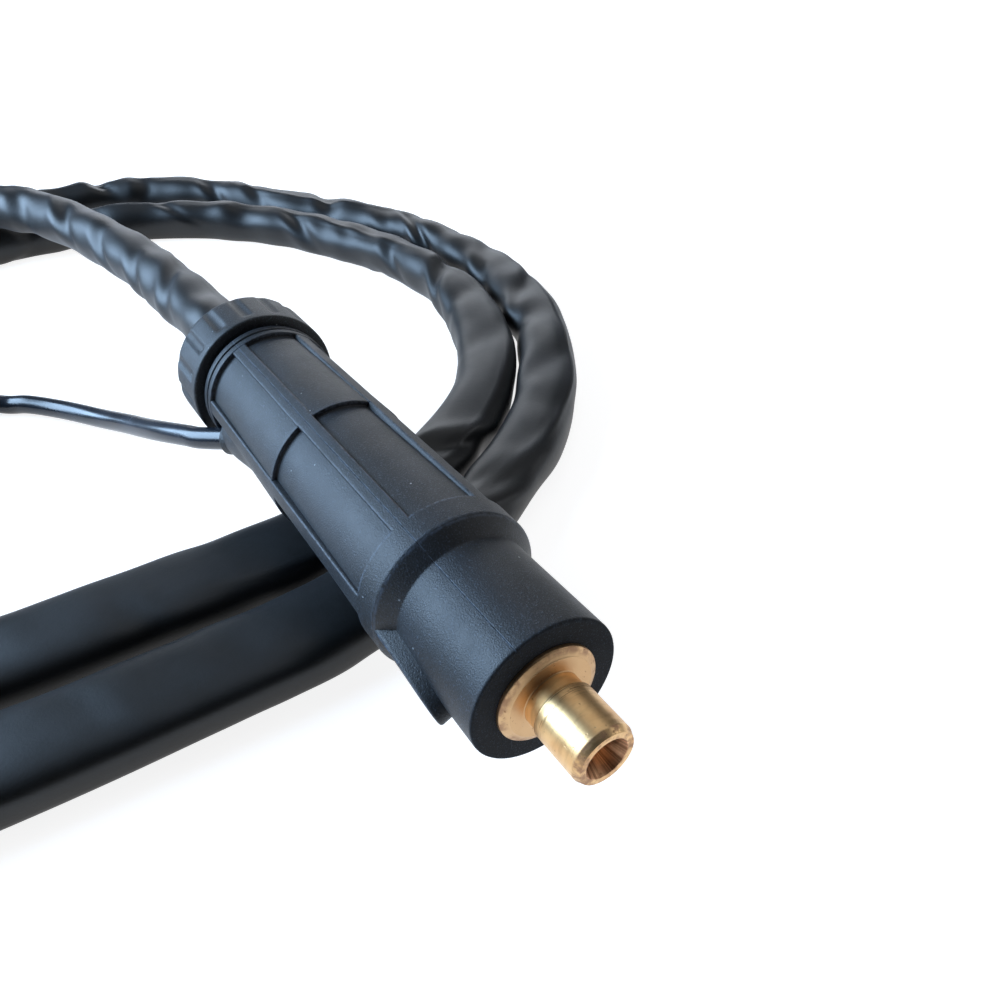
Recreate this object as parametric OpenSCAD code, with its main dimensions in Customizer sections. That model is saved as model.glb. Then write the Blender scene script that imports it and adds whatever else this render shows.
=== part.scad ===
// TIG torch: gas-through cable plug, sleeved hose lying in a coil, control lead with its plug,
// and the hand torch at the far end. Millimetres. +X runs along the plug's pin, out of the plug,
// and +Z is up. The origin is on the pin's axis, halfway along its full-diameter length.

/* [Plug pin] */
// Radius of the pin where it seats in the machine's socket
pin_r = 6.5; // [5.6:0.1:7.5]
// Length of the pin at its full radius
pin_length = 11.2; // [9:0.1:16]
// Radius of the neck between the pin and its flange
neck_r = 6.0; // [5:0.1:7]
// Length of that neck
neck_length = 3.4; // [2:0.1:6]
// Radius at the end of the pin's lead-in chamfer
tip_r = 5.85; // [5:0.05:5.9]
// Length of the lead-in chamfer
tip_length = 1.4; // [0.5:0.1:3]
// Radius of the gas way through the plug
gas_bore_r = 3.0; // [1.5:0.1:3.6]
// Radius of the gas way's countersunk mouth
mouth_r = 4.5; // [3.8:0.1:5]
// Depth of the countersink
mouth_depth = 4.0; // [1:0.1:6]
// Radius of the flange that seats against the housing
flange_r = 10.9; // [9.5:0.1:12.5]
// How far the flange stands out of the housing's nose
flange_proud = 1.8; // [1:0.1:3]
// Depth of the bevel on the flange's front edge
flange_chamfer = 0.9; // [0.3:0.1:1.2]
// Width of that bevel across the flange
flange_bevel = 1.7; // [0.6:0.1:2.4]

/* [Plug body inside the housing] */
// Radius of the shank in the housing's nose
shank_r = 8.0; // [7:0.1:9]
// Thickness of the housing's front wall, which the shank passes
front_wall = 8.0; // [5:0.5:12]
// Radius of the shoulder that the housing halves clamp
shoulder_r = 11.0; // [9.5:0.1:12]
// Length of the shoulder
shoulder_length = 6.0; // [3:0.5:9]
// Radius of the barrel that takes the copper cable
barrel_r = 8.0; // [7.6:0.1:9]
// Length of the barrel
barrel_length = 36.0; // [30:1:45]
// Radius of the socket in the barrel
socket_r = 5.4; // [4.6:0.1:6]
// Depth of the socket
socket_depth = 22.0; // [18:1:26]
// Radius of the two screws that clamp the copper
clamp_screw_r = 2.5; // [2:0.1:3]
// Distance between the two clamp screws
clamp_screw_pitch = 9.0; // [7:0.5:10]

/* [Plug housing] */
// Length of the nose, from its front face to the cone
nose_length = 27.4; // [22:0.2:32]
// Radius of the nose at its front face
nose_r = 16.2; // [15:0.1:17.5]
// Radius of the nose at its foot
nose_foot_r = 15.8; // [14.8:0.1:17]
// Rounding of the nose's front edge
nose_edge = 0.6; // [0.4:0.1:2]
// Length of the cone between nose and collar
cone_length = 4.0; // [2:0.2:6]
// Radius of the collar band
collar_r = 19.1; // [18.6:0.1:21]
// Length of the collar band
collar_length = 6.5; // [4:0.5:9]
// Length of the front row of grip panels
front_panel_length = 45.5; // [38:0.5:52]
// Length of the rear row of grip panels
rear_panel_length = 42.1; // [36:0.5:50]
// Radius of the ribs where the two rows of panels meet
rib_middle_r = 18.4; // [18.2:0.1:18.9]
// Radius of the ribs at the rear ring
rib_rear_r = 17.7; // [17.2:0.1:18.1]
// Width of each rib
rib_w = 4.0; // [2.5:0.1:6]
// Number of ribs, an even count so that two of them lie on the seam
rib_count = 6; // [4:2:8]
// Depth of a panel where it meets the collar
panel_step_collar = 0.4; // [0.2:0.1:0.8]
// Depth of the front panels at the step in the middle
panel_step_front = 1.5; // [0.8:0.1:1.8]
// Depth of the rear panels at that step
panel_step_back = 0.3; // [0.2:0.1:0.6]
// Depth of the rear panels at the rear ring
panel_step_rear = 1.1; // [0.5:0.1:1.4]
// Length of the rear ring
rear_ring_length = 4.8; // [3:0.2:8]
// Radius of the rear ring
rear_ring_r = 17.8; // [17.2:0.1:18.6]
// Radius of the threaded spigot behind the rear ring
spigot_r = 16.0; // [15.2:0.1:16.4]
// Length of the spigot
spigot_length = 12.7; // [11:0.1:15]
// Radius of the space inside the housing
cavity_r = 13.4; // [12.2:0.1:14]
// Half width of the key pad at its widest
pad_half_w = 8.1; // [6:0.1:10]
// Radius of the key pad's top
pad_r = 18.8; // [17.8:0.1:20]
// Distance from the nose's front face to the pad's tip
pad_setback = 9.8; // [6:0.2:14]
// Turn of the housing's seam away from straight up, in degrees
housing_roll = 25; // [0:1:45]

/* [Collar nut] */
// Radius of the nut
nut_r = 19.6; // [18.8:0.1:21]
// Length of the nut
nut_length = 16.3; // [14:0.1:20]
// Gap between the rear ring and the nut when it is tight
nut_gap = 1.4; // [0.4:0.1:2]
// Number of grip flutes around the nut
flute_count = 16; // [8:1:24]
// Radius of the cutter that makes each flute
flute_r = 2.6; // [1.5:0.1:4]
// Depth of each flute
flute_depth = 0.55; // [0.2:0.05:0.9]
// Radius of the hole that the hose passes
nut_hole_r = 9.4; // [9:0.1:11]
// Thickness of the nut's rear wall
nut_wall = 2.0; // [1.2:0.1:3]
// Radius of the nut's rounded rear edge
nut_edge = 3.2; // [1:0.2:3.4]
// Thickness of the ring that the nut presses onto the sleeve
clamp_ring_t = 2.6; // [1.5:0.1:3.2]

/* [Hose and control lead] */
// Radius of the sleeved hose
hose_r = 8.5; // [7.5:0.1:9]
// Height of the plug's axis above the surface that the hose lies on
axis_height = 32; // [31.5:0.1:36]
// Radius of the control lead
lead_r = 3.0; // [2:0.1:3.4]
// Angle between the control lead and the plug's axis where it leaves the housing
lead_angle = 35; // [34:1:36]
// Turn around the plug's axis from the key pad to the control lead, in degrees
lead_clock = -1; // [-10:1:12]
// Distance from the rear ring to the point in front of it where the lead's axis leaves the housing
lead_setback = 4.0; // [3.6:0.1:9]
// Radius of the boss around the control lead
boss_r = 4.2; // [3.8:0.1:5]

/* [Control plug] */
// Radius of the control plug's shell
control_shell_r = 7.6; // [7:0.1:8.5]
// Length of the shell
control_shell_length = 33; // [28:1:40]
// Wall of the shell
control_wall = 1.2; // [0.8:0.1:1.6]
// Radius of the coupling ring
control_ring_r = 9.0; // [8.8:0.1:9]
// Length of the coupling ring
control_ring_length = 14; // [10:0.5:17]
// Depth of the open socket in front of the insert
control_socket_depth = 8; // [6:0.5:9]
// Number of contact pins
contact_count = 5; // [2:1:7]
// Radius of the circle that the contact pins stand on
contact_circle_r = 4.3; // [3.9:0.1:4.6]
// Radius of each contact pin
contact_r = 0.75; // [0.5:0.05:1]

/* [Torch handle] */
// Length of the handle
handle_length = 152; // [140:1:165]
// Radius of the handle
handle_r = 14.2; // [13.4:0.1:14.6]
// Wall of the two handle halves
handle_wall = 2.4; // [1.8:0.1:3]
// Length of the rubber boot behind the handle
boot_length = 30; // [24:1:40]
// Radius of the boot's thin end
boot_tail_r = 10.6; // [10:0.1:11.5]
// Length of the trigger
trigger_length = 30; // [24:1:36]
// Width of the trigger
trigger_w = 11; // [8:0.5:13]
// How far the trigger stands out of the handle
trigger_proud = 3.6; // [3.2:0.1:5]
// Travel of the trigger when it is pressed
trigger_travel = 2.2; // [1.5:0.1:2.6]
// Distance from the trigger's middle to the handle's front end
trigger_setback = 38; // [30:1:46]

/* [Torch head] */
// Radius of the neck tube between handle and head
neck_tube_r = 4.0; // [3:0.1:5]
// Radius of the moulded jacket around the neck
jacket_r = 7.5; // [6.5:0.1:8.5]
// Distance from the handle's front end to the head's axis
neck_reach = 26; // [22:1:34]
// Radius of the jacket around the head
head_r = 10.5; // [10:0.1:12]
// Length of the jacket along the head's axis
head_length = 30; // [26:1:36]
// Lean of the head's axis away from square to the handle, in degrees
head_lean = 20; // [0:1:25]
// Radius of the threaded bore through the head
head_bore_r = 5.2; // [4.6:0.1:5.6]
// Wall of the copper head body
head_wall = 2.4; // [1.8:0.1:3]
// Length of the back cap behind the head
cap_length = 52; // [20:1:70]
// Radius of the back cap at the head
cap_r = 8.2; // [7.6:0.1:9]
// Radius of the gas cup at its mouth
cup_mouth_r = 7.0; // [6.6:0.1:8.5]
// Radius of the gas cup at the head
cup_r = 9.6; // [9:0.1:10.4]
// Length of the gas cup
cup_length = 42; // [30:1:48]
// Wall of the gas cup
cup_wall = 2.2; // [1.6:0.1:2.6]
// Radius of the tungsten electrode
electrode_r = 1.2; // [0.8:0.1:1.6]
// How far the electrode stands out of the cup
electrode_out = 6; // [3:0.5:12]

/* [Hidden] */
$fn = 96;
fit = 0.05;        // running clearance between turned parts, on the radius
gap = 0.3;         // clearance between parts that move past each other
full_turn = 360;

// Distances along the plug's axis
face_x = -(pin_length / 2 + neck_length + flange_proud);
shoulder_x = face_x - front_wall;
barrel_x = shoulder_x - shoulder_length;
barrel_end_x = barrel_x - barrel_length;
cone_x = face_x - nose_length;
collar_x = cone_x - cone_length;
panel_x = collar_x - collar_length;
step_x = panel_x - front_panel_length;
rear_x = step_x - rear_panel_length;
ring_x = rear_x - rear_ring_length;
spigot_x = ring_x - spigot_length;
nut_x = ring_x - nut_gap;
nut_end_x = nut_x - nut_length;
cable_end_x = nut_end_x + nut_wall;
far = 400;         // longer than any piece, for cutting tools

floor_z = -axis_height;
hose_z = floor_z + 0.8 * hose_r;      // a tenth of the hose's diameter is cut flat

// ---------- shared shapes ----------

// A solid of revolution about the X axis from points [radius, x]
module turned(points) rotate([0, 90, 0]) rotate_extrude() polygon(points);

// A straight round bar along X from one x to another
module bar(r, x0, x1) translate([min(x0, x1), 0, 0]) rotate([0, 90, 0])
    cylinder(r = r, h = abs(x1 - x0));

// Turns its children about the X axis, from straight up towards +Y
module around(angle) rotate([-angle, 0, 0]) children();

// Points of a quarter round from [r, x + edge] in to [r - edge, x], for a turned profile
function edge_points(r, x, edge, side, steps = 5) = [
    for (i = [0 : steps]) let (a = 90 * i / steps)
        [r - edge + edge * cos(a), x + side * (edge - edge * sin(a))]
];

function smooth(t) = let (k = min(max(t, 0), 1)) k * k * (3 - 2 * k);
function bell(t) = abs(t) < 1 ? (1 - t * t) * (1 - t * t) : 0;
function unit(v) = v / norm(v);

// ---------- tubes swept along a route ----------

// A tube's section in the plane across its run, cut flat where it would pass under the surface
function ring_points(at, side, up, r, sides) = [
    for (i = [0 : sides - 1]) let (
        a = full_turn * (i + 0.5) / sides,
        p = at + r * (side * cos(a) + up * sin(a))
    ) [p[0], p[1], max(p[2], floor_z)]
];

function run_dir(route, i) = let (n = len(route))
    i == 0 ? unit(route[1] - route[0]) :
    i == n - 1 ? unit(route[n - 1] - route[n - 2]) :
    unit(unit(route[i + 1] - route[i]) + unit(route[i] - route[i - 1]));

function side_dir(dir) = unit(cross(dir, [0, 0, 1]));

// Joins rings of equally many points into one closed skin
module skin(rings) {
    sides = len(rings[0]);
    last = len(rings) - 1;
    points = [for (ring = rings) each ring];
    walls = [
        for (j = [0 : last - 1], i = [0 : sides - 1]) let (k = (i + 1) % sides)
            each [
                [j * sides + i, j * sides + k, (j + 1) * sides + k],
                [j * sides + i, (j + 1) * sides + k, (j + 1) * sides + i]
            ]
    ];
    front = [for (i = [1 : sides - 2]) [0, i + 1, i]];
    back = [for (i = [1 : sides - 2]) [last * sides, last * sides + i, last * sides + i + 1]];
    polyhedron(points = points, faces = concat(walls, front, back));
}

module tube(route, r, sides) {
    skin([
        for (i = [0 : len(route) - 1]) let (
            dir = run_dir(route, i),
            side = side_dir(dir),
            up = cross(side, dir)
        ) ring_points(route[i], side, up, r, sides)
    ]);
}

// ---------- the hose's route ----------

// The coil winds inwards: a wide loop whose near side is drawn out, and then a small round coil
coil_centre = [-230, -30];
coil_reach = 154;          // radius at the top of the loop's first turn
coil_pitch = 24;           // drawn in by each turn
coil_stretch = 165;        // how far the near side is drawn out
small_centre = [-230, -198];
small_reach = 98;
small_pitch = 18.5;
small_tuck = 5;            // the last half turn is drawn in by this much more
small_from = 900;          // angle where the small coil begins to take over
small_full = 1080;
coil_start = 195;
coil_end = 1530;
coil_step = 15;
first_bend = [340, 2.5];   // where the right-hand bends are drawn in, in degrees, and by how much
second_bend = [700, 9];
bend_span = 70;
swells = [[398, 45, -2.6], [524, 38, 21], [800, 60, 2.2], [885, 60, 9]];   // angle, span, growth

function drawn_in(a, bend) = bend[1] * bell((a - bend[0]) / bend_span);

// The radius grows or shrinks where the turns lie against each other or spread
function swell(a) = [for (s = swells) s[2] * bell((a - s[0]) / s[1])] * [for (s = swells) 1];

function wide_loop(a) =
    let (r = coil_reach - coil_pitch * (a - 450) / full_turn + swell(a), s = max(0, -sin(a)))
    coil_centre
        + [r * cos(a) - drawn_in(a, first_bend) - drawn_in(a, second_bend),
           r * sin(a) - coil_stretch * (1 - pow(1 - s, 2.5))];

function small_loop(a) =
    let (
        r = small_reach - small_pitch * (a - small_full) / full_turn
            - small_tuck * smooth((a - coil_end + 180) / 180)
    )
    small_centre + r * [cos(a), sin(a)];

function coil_at(a) =
    let (k = smooth((a - small_from) / (small_full - small_from)))
    wide_loop(a) * (1 - k) + small_loop(a) * k;

function coil_dir(a) = let (d = unit(coil_at(a + 1) - coil_at(a - 1))) [d[0], d[1], 0];

// Under the plug the soft hose lies pressed flat, and a third as much along the stretch behind it
flat_until = 800;
flat_behind = 0.35;
function flatness(a) = let (near = (a + 180) % full_turn - 180)
    a > flat_until ? 0 :
        smooth((near + 34) / 18)
        * (1 - (1 - flat_behind) * smooth((near - 5) / 20) - flat_behind * smooth((near - 75) / 30));

flat_half_w = 1.5 * hose_r;
flat_z = floor_z + 6.0;
flat_top = floor_z + 12.4;
round_top = floor_z + 1.75 * hose_r;

// A six-sided section, level on top and cut flat where it lies
function coil_ring(at, dir, flat) =
    let (
        side = side_dir(dir),
        half_w = hose_r * (1 - flat) + flat_half_w * flat,
        mid = hose_z * (1 - flat) + flat_z * flat,
        top = round_top * (1 - flat) + flat_top * flat,
        foot = 0.52 * half_w,
        section = [
            [half_w, mid], [foot, top], [-foot, top],
            [-half_w, mid], [-foot, floor_z], [foot, floor_z]
        ]
    )
    [for (p = section) [at[0] + side[0] * p[0], at[1] + side[1] * p[0], p[1]]];

coil_angles = [for (a = [coil_start : coil_step : coil_end]) a];
coil_in = coil_at(coil_start) - 2 * hose_r * [coil_dir(coil_start)[0], coil_dir(coil_start)[1]];
coil_out = coil_at(coil_end) + 2 * hose_r * [coil_dir(coil_end)[0], coil_dir(coil_end)[1]];
coil_rings = concat(
    [coil_ring(coil_in, coil_dir(coil_start), 0)],
    [for (a = coil_angles) coil_ring(coil_at(a), coil_dir(a), flatness(a))],
    [coil_ring(coil_out, coil_dir(coil_end), 0)]
);

// Least distance between one turn's side and the next turn's, over all the rings
function coil_half_w(a) = hose_r * (1 - flatness(a)) + flat_half_w * flatness(a);
coil_gaps = [
    for (a = [coil_start : coil_step : coil_end - full_turn])
        for (b = [a + 240 : coil_step : min(a + 480, coil_end)])
            norm(coil_at(a) - coil_at(b)) - coil_half_w(a) - coil_half_w(b)
];
echo(least_gap_between_turns = min(coil_gaps));

// From the nut the hose runs on level, crosses over the coil and comes down to its start
hose_lead_route = concat(
    [
        [cable_end_x, 0, 0], [-176, 0, 0], [-205, -1, -0.5], [-240, -3, -1.5], [-281, -9, -3],
        [-322, -19, -4.5], [-350, -35, -5.5], [-374, -58, -6], [-391, -88, -7.5], [-398, -112, -15]
    ],
    [[-399, -130, -22]],
    [[coil_in[0], coil_in[1], hose_z] - 4 * coil_dir(coil_start), [coil_in[0], coil_in[1], hose_z]]
);

// The torch lies along +X on the small coil
torch_at = [-236, -266, round_top + handle_r + gap];
hose_into_boot = 8;

// Inside the small coil the hose climbs half a turn and runs into the torch
hose_tail_route = concat(
    [[coil_out[0], coil_out[1], hose_z], [coil_out[0], coil_out[1], hose_z] + 4 * coil_dir(coil_end)],
    [
        [-271, -139, -24.5], [-289, -157, -22], [-299, -179, -18], [-302, -198, -15], [-298, -223, -11],
        [-285, -244, -7.5], [-264, -261, -4.5], [-252, -265, -3]
    ],
    [torch_at + [-4, 0, 0], torch_at + [hose_into_boot, 0, 0]]
);

// ---------- the control lead's route ----------

lead_dir = [-cos(lead_angle), -sin(lead_angle), 0];
lead_surface = [rear_x + lead_setback, -(rib_rear_r - panel_step_rear + 0.3), 0];
lead_turn = housing_roll + lead_clock;
boss_depth = 14;           // how far the boss reaches in from the housing's outside
inner_length = 11;         // how much of the lead shows inside the housing
grommet_depth = 9.5;       // from the housing's outside to the grommet's inner end
grommet_length = 5;
grommet_wall = 1.2;
clear_of_ring = 10;        // how far the lead's way is cut outwards, past the rear ring

// A point on the lead's straight start, turned with the housing
function rolled(p) = [p[0], p[1] * cos(lead_turn) - p[2] * sin(lead_turn),
                      p[1] * sin(lead_turn) + p[2] * cos(lead_turn)];

control_plug_at = [-230, -172, floor_z + control_ring_r];
control_relief_length = 16;

control_lead_route = concat(
    [rolled(lead_surface), rolled(lead_surface + 10.5 * lead_dir)],
    [
        [-146.4, -23.3, -10.7], [-159, -27.6, -14.6], [-178, -32.4, -20.8], [-196, -38.5, -25.8],
        [-211, -46.5, -27.8], [-221, -54.8, -28.3], [-227, -62, -28.8], [-233, -77, -23], [-236, -92, -13],
        [-236, -110, -13], [-235, -130, -13], [-232, -144, -18]
    ],
    [control_plug_at + [0, control_relief_length + 4, 0], control_plug_at + [0, control_relief_length, 0]]
);

// ---------- cable plug ----------

module plug_body() color("gold") difference() {
    turned([
        [0, pin_length / 2 + tip_length], [tip_r, pin_length / 2 + tip_length], [pin_r, pin_length / 2],
        [pin_r, -pin_length / 2], [neck_r, -pin_length / 2], [neck_r, -pin_length / 2 - neck_length],
        [flange_r - flange_bevel, -pin_length / 2 - neck_length],
        [flange_r, -pin_length / 2 - neck_length - flange_chamfer], [flange_r, face_x],
        [shank_r, face_x], [shank_r, shoulder_x], [shoulder_r, shoulder_x], [shoulder_r, barrel_x],
        [barrel_r, barrel_x], [barrel_r, barrel_end_x], [0, barrel_end_x]
    ]);
    bar(gas_bore_r, far, -far);
    turned([
        [0, pin_length / 2 + tip_length - mouth_depth],
        [gas_bore_r, pin_length / 2 + tip_length - mouth_depth],
        [mouth_r, pin_length / 2 + tip_length], [mouth_r, pin_length], [0, pin_length]
    ]);
    bar(socket_r, barrel_end_x - 1, barrel_end_x + socket_depth);
    for (x = clamp_screw_xs) translate([x, 0, 0]) cylinder(r = clamp_screw_r + fit, h = far);
}

clamp_screw_xs = [for (i = [0, 1]) barrel_end_x + 5 + i * clamp_screw_pitch];

module clamp_screws() color("dimgray") for (x = clamp_screw_xs) translate([x, 0, socket_r - fit])
    difference() {
        cylinder(r = clamp_screw_r, h = barrel_r - socket_r);
        translate([0, 0, barrel_r - socket_r - 1.4]) cylinder(r = 1.4, h = 2, $fn = 6);
    }

cable_r = 7.2;

module power_cable() color("sienna") turned([
    [0, barrel_end_x + socket_depth - gap], [socket_r - 2 * fit, barrel_end_x + socket_depth - gap],
    [socket_r - 2 * fit, barrel_end_x - gap], [cable_r, barrel_end_x - gap],
    [cable_r, cable_end_x], [0, cable_end_x]
]);

ferrule_length = 12;

module crimp_ferrule() color("silver") difference() {
    bar(cable_r + 1.4, barrel_end_x - gap - 1, barrel_end_x - gap - ferrule_length);
    bar(cable_r + fit, far, -far);
}

// The panels' floors, with a step between the two rows
module housing_core() turned(concat(
    [[0, face_x]],
    [for (p = [5 : -1 : 0]) edge_points(nose_r, face_x, nose_edge, -1)[p]],
    [
        [nose_foot_r, cone_x], [collar_r, collar_x], [collar_r, panel_x],
        [collar_r - panel_step_collar, panel_x], [rib_middle_r - panel_step_front, step_x],
        [rib_middle_r - panel_step_back, step_x], [rib_rear_r - panel_step_rear, rear_x],
        [rear_ring_r, rear_x], [rear_ring_r, ring_x], [spigot_r, ring_x], [spigot_r, spigot_x], [0, spigot_x]
    ]
));

module housing_ribs() intersection() {
    turned([[0, collar_x], [collar_r, collar_x], [collar_r, panel_x], [rib_middle_r, step_x],
            [rib_rear_r, rear_x], [rib_rear_r, ring_x], [0, ring_x]]);
    for (i = [0 : rib_count / 2 - 1]) around(i * full_turn / rib_count)
        translate([ring_x, -rib_w / 2, -collar_r]) cube([collar_x - ring_x, rib_w, 2 * collar_r]);
}

// A tongue shaped as half an ellipse, widest halfway along the collar
module key_pad() intersection() {
    bar(pad_r, face_x - pad_setback, collar_x);
    rotate([90, 0, 0]) linear_extrude(collar_r) translate([collar_x - collar_length / 2, 0])
        scale([nose_length + cone_length + collar_length / 2 - pad_setback, pad_half_w]) circle(r = 1);
}

// Lies along the control lead's axis, from one distance before its exit to another behind it
module lead_bar(r, from, to) rotate([lead_clock, 0, 0]) translate(lead_surface + from * lead_dir)
    rotate([0, 0, 180 + lead_angle]) rotate([0, 90, 0]) cylinder(r = r, h = to - from);

module housing() difference() {
    union() {
        housing_core();
        housing_ribs();
        key_pad();
        lead_bar(boss_r, -boss_depth, 0);
    }
    bar(shank_r + fit, far, -far);
    bar(shoulder_r + fit, shoulder_x + fit, -far);
    bar(cavity_r, barrel_x - 2, -far);
    lead_bar(lead_r + fit, -2 * boss_depth, clear_of_ring);
}

module housing_half(side) color([0.14, 0.15, 0.17]) rotate([housing_roll, 0, 0]) intersection() {
    housing();
    translate([-far, side > 0 ? fit : -far - fit, -far / 2]) cube([2 * far, far, far]);
}

module housing_left() housing_half(1);
module housing_right() housing_half(-1);

module collar_nut() color([0.14, 0.15, 0.17]) rotate([housing_roll, 0, 0]) difference() {
    turned(concat(
        [[0, nut_x], [nut_r - 0.6, nut_x], [nut_r, nut_x - 0.6]],
        edge_points(nut_r, nut_end_x, nut_edge, 1),
        [[0, nut_end_x]]
    ));
    bar(spigot_r + gap, far, nut_end_x + nut_wall);
    bar(nut_hole_r, far, -far);
    for (i = [0 : flute_count - 1]) around(i * full_turn / flute_count)
        translate([nut_end_x - 1, 0, nut_r + flute_r - flute_depth])
            rotate([0, 90, 0]) cylinder(r = flute_r, h = nut_length - 2);
}

module clamp_ring() color("black") difference() {
    bar(spigot_r - gap, nut_end_x + nut_wall + 0.1, nut_end_x + nut_wall + 0.1 + clamp_ring_t);
    bar(hose_r + 0.4, far, -far);
}

// A ring behind the boss that seals the control lead
module lead_grommet() color("black") rotate([housing_roll, 0, 0]) difference() {
    intersection() {
        lead_bar(lead_r + grommet_wall, -grommet_depth, grommet_length - grommet_depth);
        bar(cavity_r - gap, far, -far);
    }
    lead_bar(lead_r + fit, -2 * grommet_depth, clear_of_ring);
}

// The control lead's stretch inside the housing, from beside the power cable to its exit
module lead_inner() color("black") rotate([housing_roll, 0, 0]) lead_bar(lead_r, -inner_length, 0);

// ---------- hose and control lead ----------

module hose_lead() color([0.09, 0.09, 0.1]) tube(hose_lead_route, hose_r, 10);
module hose_coil() color([0.09, 0.09, 0.1]) skin(coil_rings);
module hose_tail() color([0.09, 0.09, 0.1]) tube(hose_tail_route, hose_r, 10);
module control_lead() color([0.05, 0.05, 0.06]) tube(control_lead_route, lead_r, 8);

// ---------- control plug, along -Y from its place ----------

module along_control() translate(control_plug_at) rotate([0, 0, -90]) children();

control_front = control_shell_length;
insert_front = control_front - control_socket_depth;
insert_length = 8;

module control_plug_relief() color("black") along_control() turned([
    [0, -control_relief_length], [lead_r + 0.7, -control_relief_length],
    [control_shell_r - 1.6, 0], [control_shell_r - control_wall - fit, 0],
    [control_shell_r - control_wall - fit, 5], [0, 5]
]);

module control_plug_shell() color("silver") along_control() difference() {
    bar(control_shell_r, 0, control_front);
    bar(control_shell_r - control_wall, -1, control_front + 1);
}

module control_plug_ring() color("silver") along_control() difference() {
    bar(control_ring_r, control_front - control_ring_length - 1.5, control_front - 1.5);
    bar(control_shell_r + gap, -far, far);
    for (i = [0 : 11]) around(i * full_turn / 12)
        translate([-far, 0, control_ring_r + 0.7]) rotate([0, 90, 0]) cylinder(r = 1, h = 2 * far);
}

contact_angles = [for (i = [0 : contact_count - 1]) i * full_turn / contact_count];

module control_plug_insert() color("dimgray") along_control() difference() {
    bar(control_shell_r - control_wall - fit, insert_front - insert_length, insert_front);
    for (a = contact_angles) around(a) translate([0, 0, contact_circle_r]) bar(contact_r + fit, -far, far);
}

module control_plug_contacts() color("gold") along_control() for (a = contact_angles) around(a)
    translate([0, 0, contact_circle_r]) bar(contact_r, insert_front - insert_length - 2, control_front - 1.5);

// ---------- torch, along +X from its rear end ----------

module on_torch() translate(torch_at) children();

boot_seat = 7;             // how far the boot reaches into the handle
neck_root = 20;            // how far the neck's tube reaches into the handle
neck_seat = 13;            // how far the neck's jacket reaches into it
handle_x = boot_length;
handle_front = handle_x + handle_length;
head_x = handle_front + neck_reach;
trigger_x = handle_front - trigger_setback;
inner_r = handle_r - handle_wall;

// The handle's outside: a slim waist and a fuller front
module handle_form() turned([
    [0, handle_x], [handle_r - 2.2, handle_x], [handle_r - 0.6, handle_x + 3],
    [handle_r - 1.4, handle_x + handle_length * 0.35], [handle_r, handle_x + handle_length * 0.65],
    [handle_r, handle_front - 14], [handle_r - 2.5, handle_front - 3], [handle_r - 4.5, handle_front],
    [0, handle_front]
]);

module handle_inside() turned([
    [0, handle_x + boot_seat + 1], [inner_r - 2, handle_x + boot_seat + 1],
    [inner_r - 2, handle_front - neck_seat + 1], [0, handle_front - neck_seat + 1]
]);

rear_screw = 22;           // from the handle's rear end
middle_screw = 70;         // from its front end
front_screw = 16;
screw_xs = [handle_x + rear_screw, handle_front - middle_screw, handle_front - front_screw];

module handle_half(side) color([0.12, 0.12, 0.13]) on_torch() difference() {
    intersection() {
        handle_form();
        translate([0, -far / 2, side > 0 ? fit : -far - fit]) cube([far, far, far]);
    }
    handle_inside();
    bar(boot_tail_r - 1.2, 0, handle_x + boot_seat + 2);
    bar(jacket_r + fit, handle_front - neck_seat, handle_front + 1);
    translate([trigger_x, 0, 0]) rotate([-90, 0, 0]) trigger_hole();
    for (x = screw_xs) translate([x, -inner_r + 3, 0]) cylinder(r = 1.3, h = far, center = true);
}

module trigger_hole() linear_extrude(far) {
    for (i = [-1, 1]) translate([i * (trigger_length - trigger_w) / 2, 0]) circle(r = trigger_w / 2 + gap);
    square([trigger_length - trigger_w, trigger_w + 2 * gap], center = true);
}

module handle_upper() handle_half(1);
module handle_lower() handle_half(-1);

module handle_screws() color("silver") on_torch() for (x = screw_xs) translate([x, -inner_r + 3, 0])
    cylinder(r = 1.2, h = 2 * (handle_r - 6), center = true);

trigger_foot = 0.8 * inner_r;

module trigger_button() color("firebrick") on_torch() translate([trigger_x, 0, 0]) rotate([-90, 0, 0])
    translate([0, 0, trigger_foot]) linear_extrude(handle_r + trigger_proud - trigger_foot) {
        for (i = [-1, 1]) translate([i * (trigger_length - trigger_w) / 2, 0]) circle(r = trigger_w / 2);
        square([trigger_length - trigger_w, trigger_w], center = true);
    }

switch_length = 20;
switch_t = 3.3;
switch_top = trigger_foot - trigger_travel - gap;
gas_tube_r = switch_top - switch_t - 4 * fit;
lead_inset = 10;           // from the handle's rear end to the switch lead's

module microswitch() color("black") on_torch()
    translate([trigger_x - switch_length / 2, switch_top - switch_t, -3]) cube([switch_length, switch_t, 6]);

module switch_lead() color("red") on_torch()
    translate([0, switch_top - switch_t / 2, 0])
        bar(1, handle_x + lead_inset, trigger_x - switch_length / 2 - 4 * fit);

module cable_boot() color("black") on_torch() difference() {
    turned([
        [0, 0], [boot_tail_r - 0.6, 0], [boot_tail_r, 1], [handle_r - 2.6, boot_length - 3],
        [handle_r - 2.6, boot_length - gap], [boot_tail_r - 1.2 - fit, boot_length - gap],
        [boot_tail_r - 1.2 - fit, boot_length + boot_seat], [0, boot_length + boot_seat]
    ]);
    bar(hose_r + 0.4, -far, far);
}

module gas_and_power_tube() color("sienna") on_torch() difference() {
    bar(gas_tube_r, hose_into_boot + fit, handle_front - neck_root);
    bar(1.2, -far, far);
}

module neck_tube() color("peru") on_torch() difference() {
    bar(neck_tube_r, handle_front - neck_root + fit, head_x);
    bar(neck_tube_r - 1.2, -far, far);
    along_head() bar(head_bore_r + head_wall + fit, -far, far);
}

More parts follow.
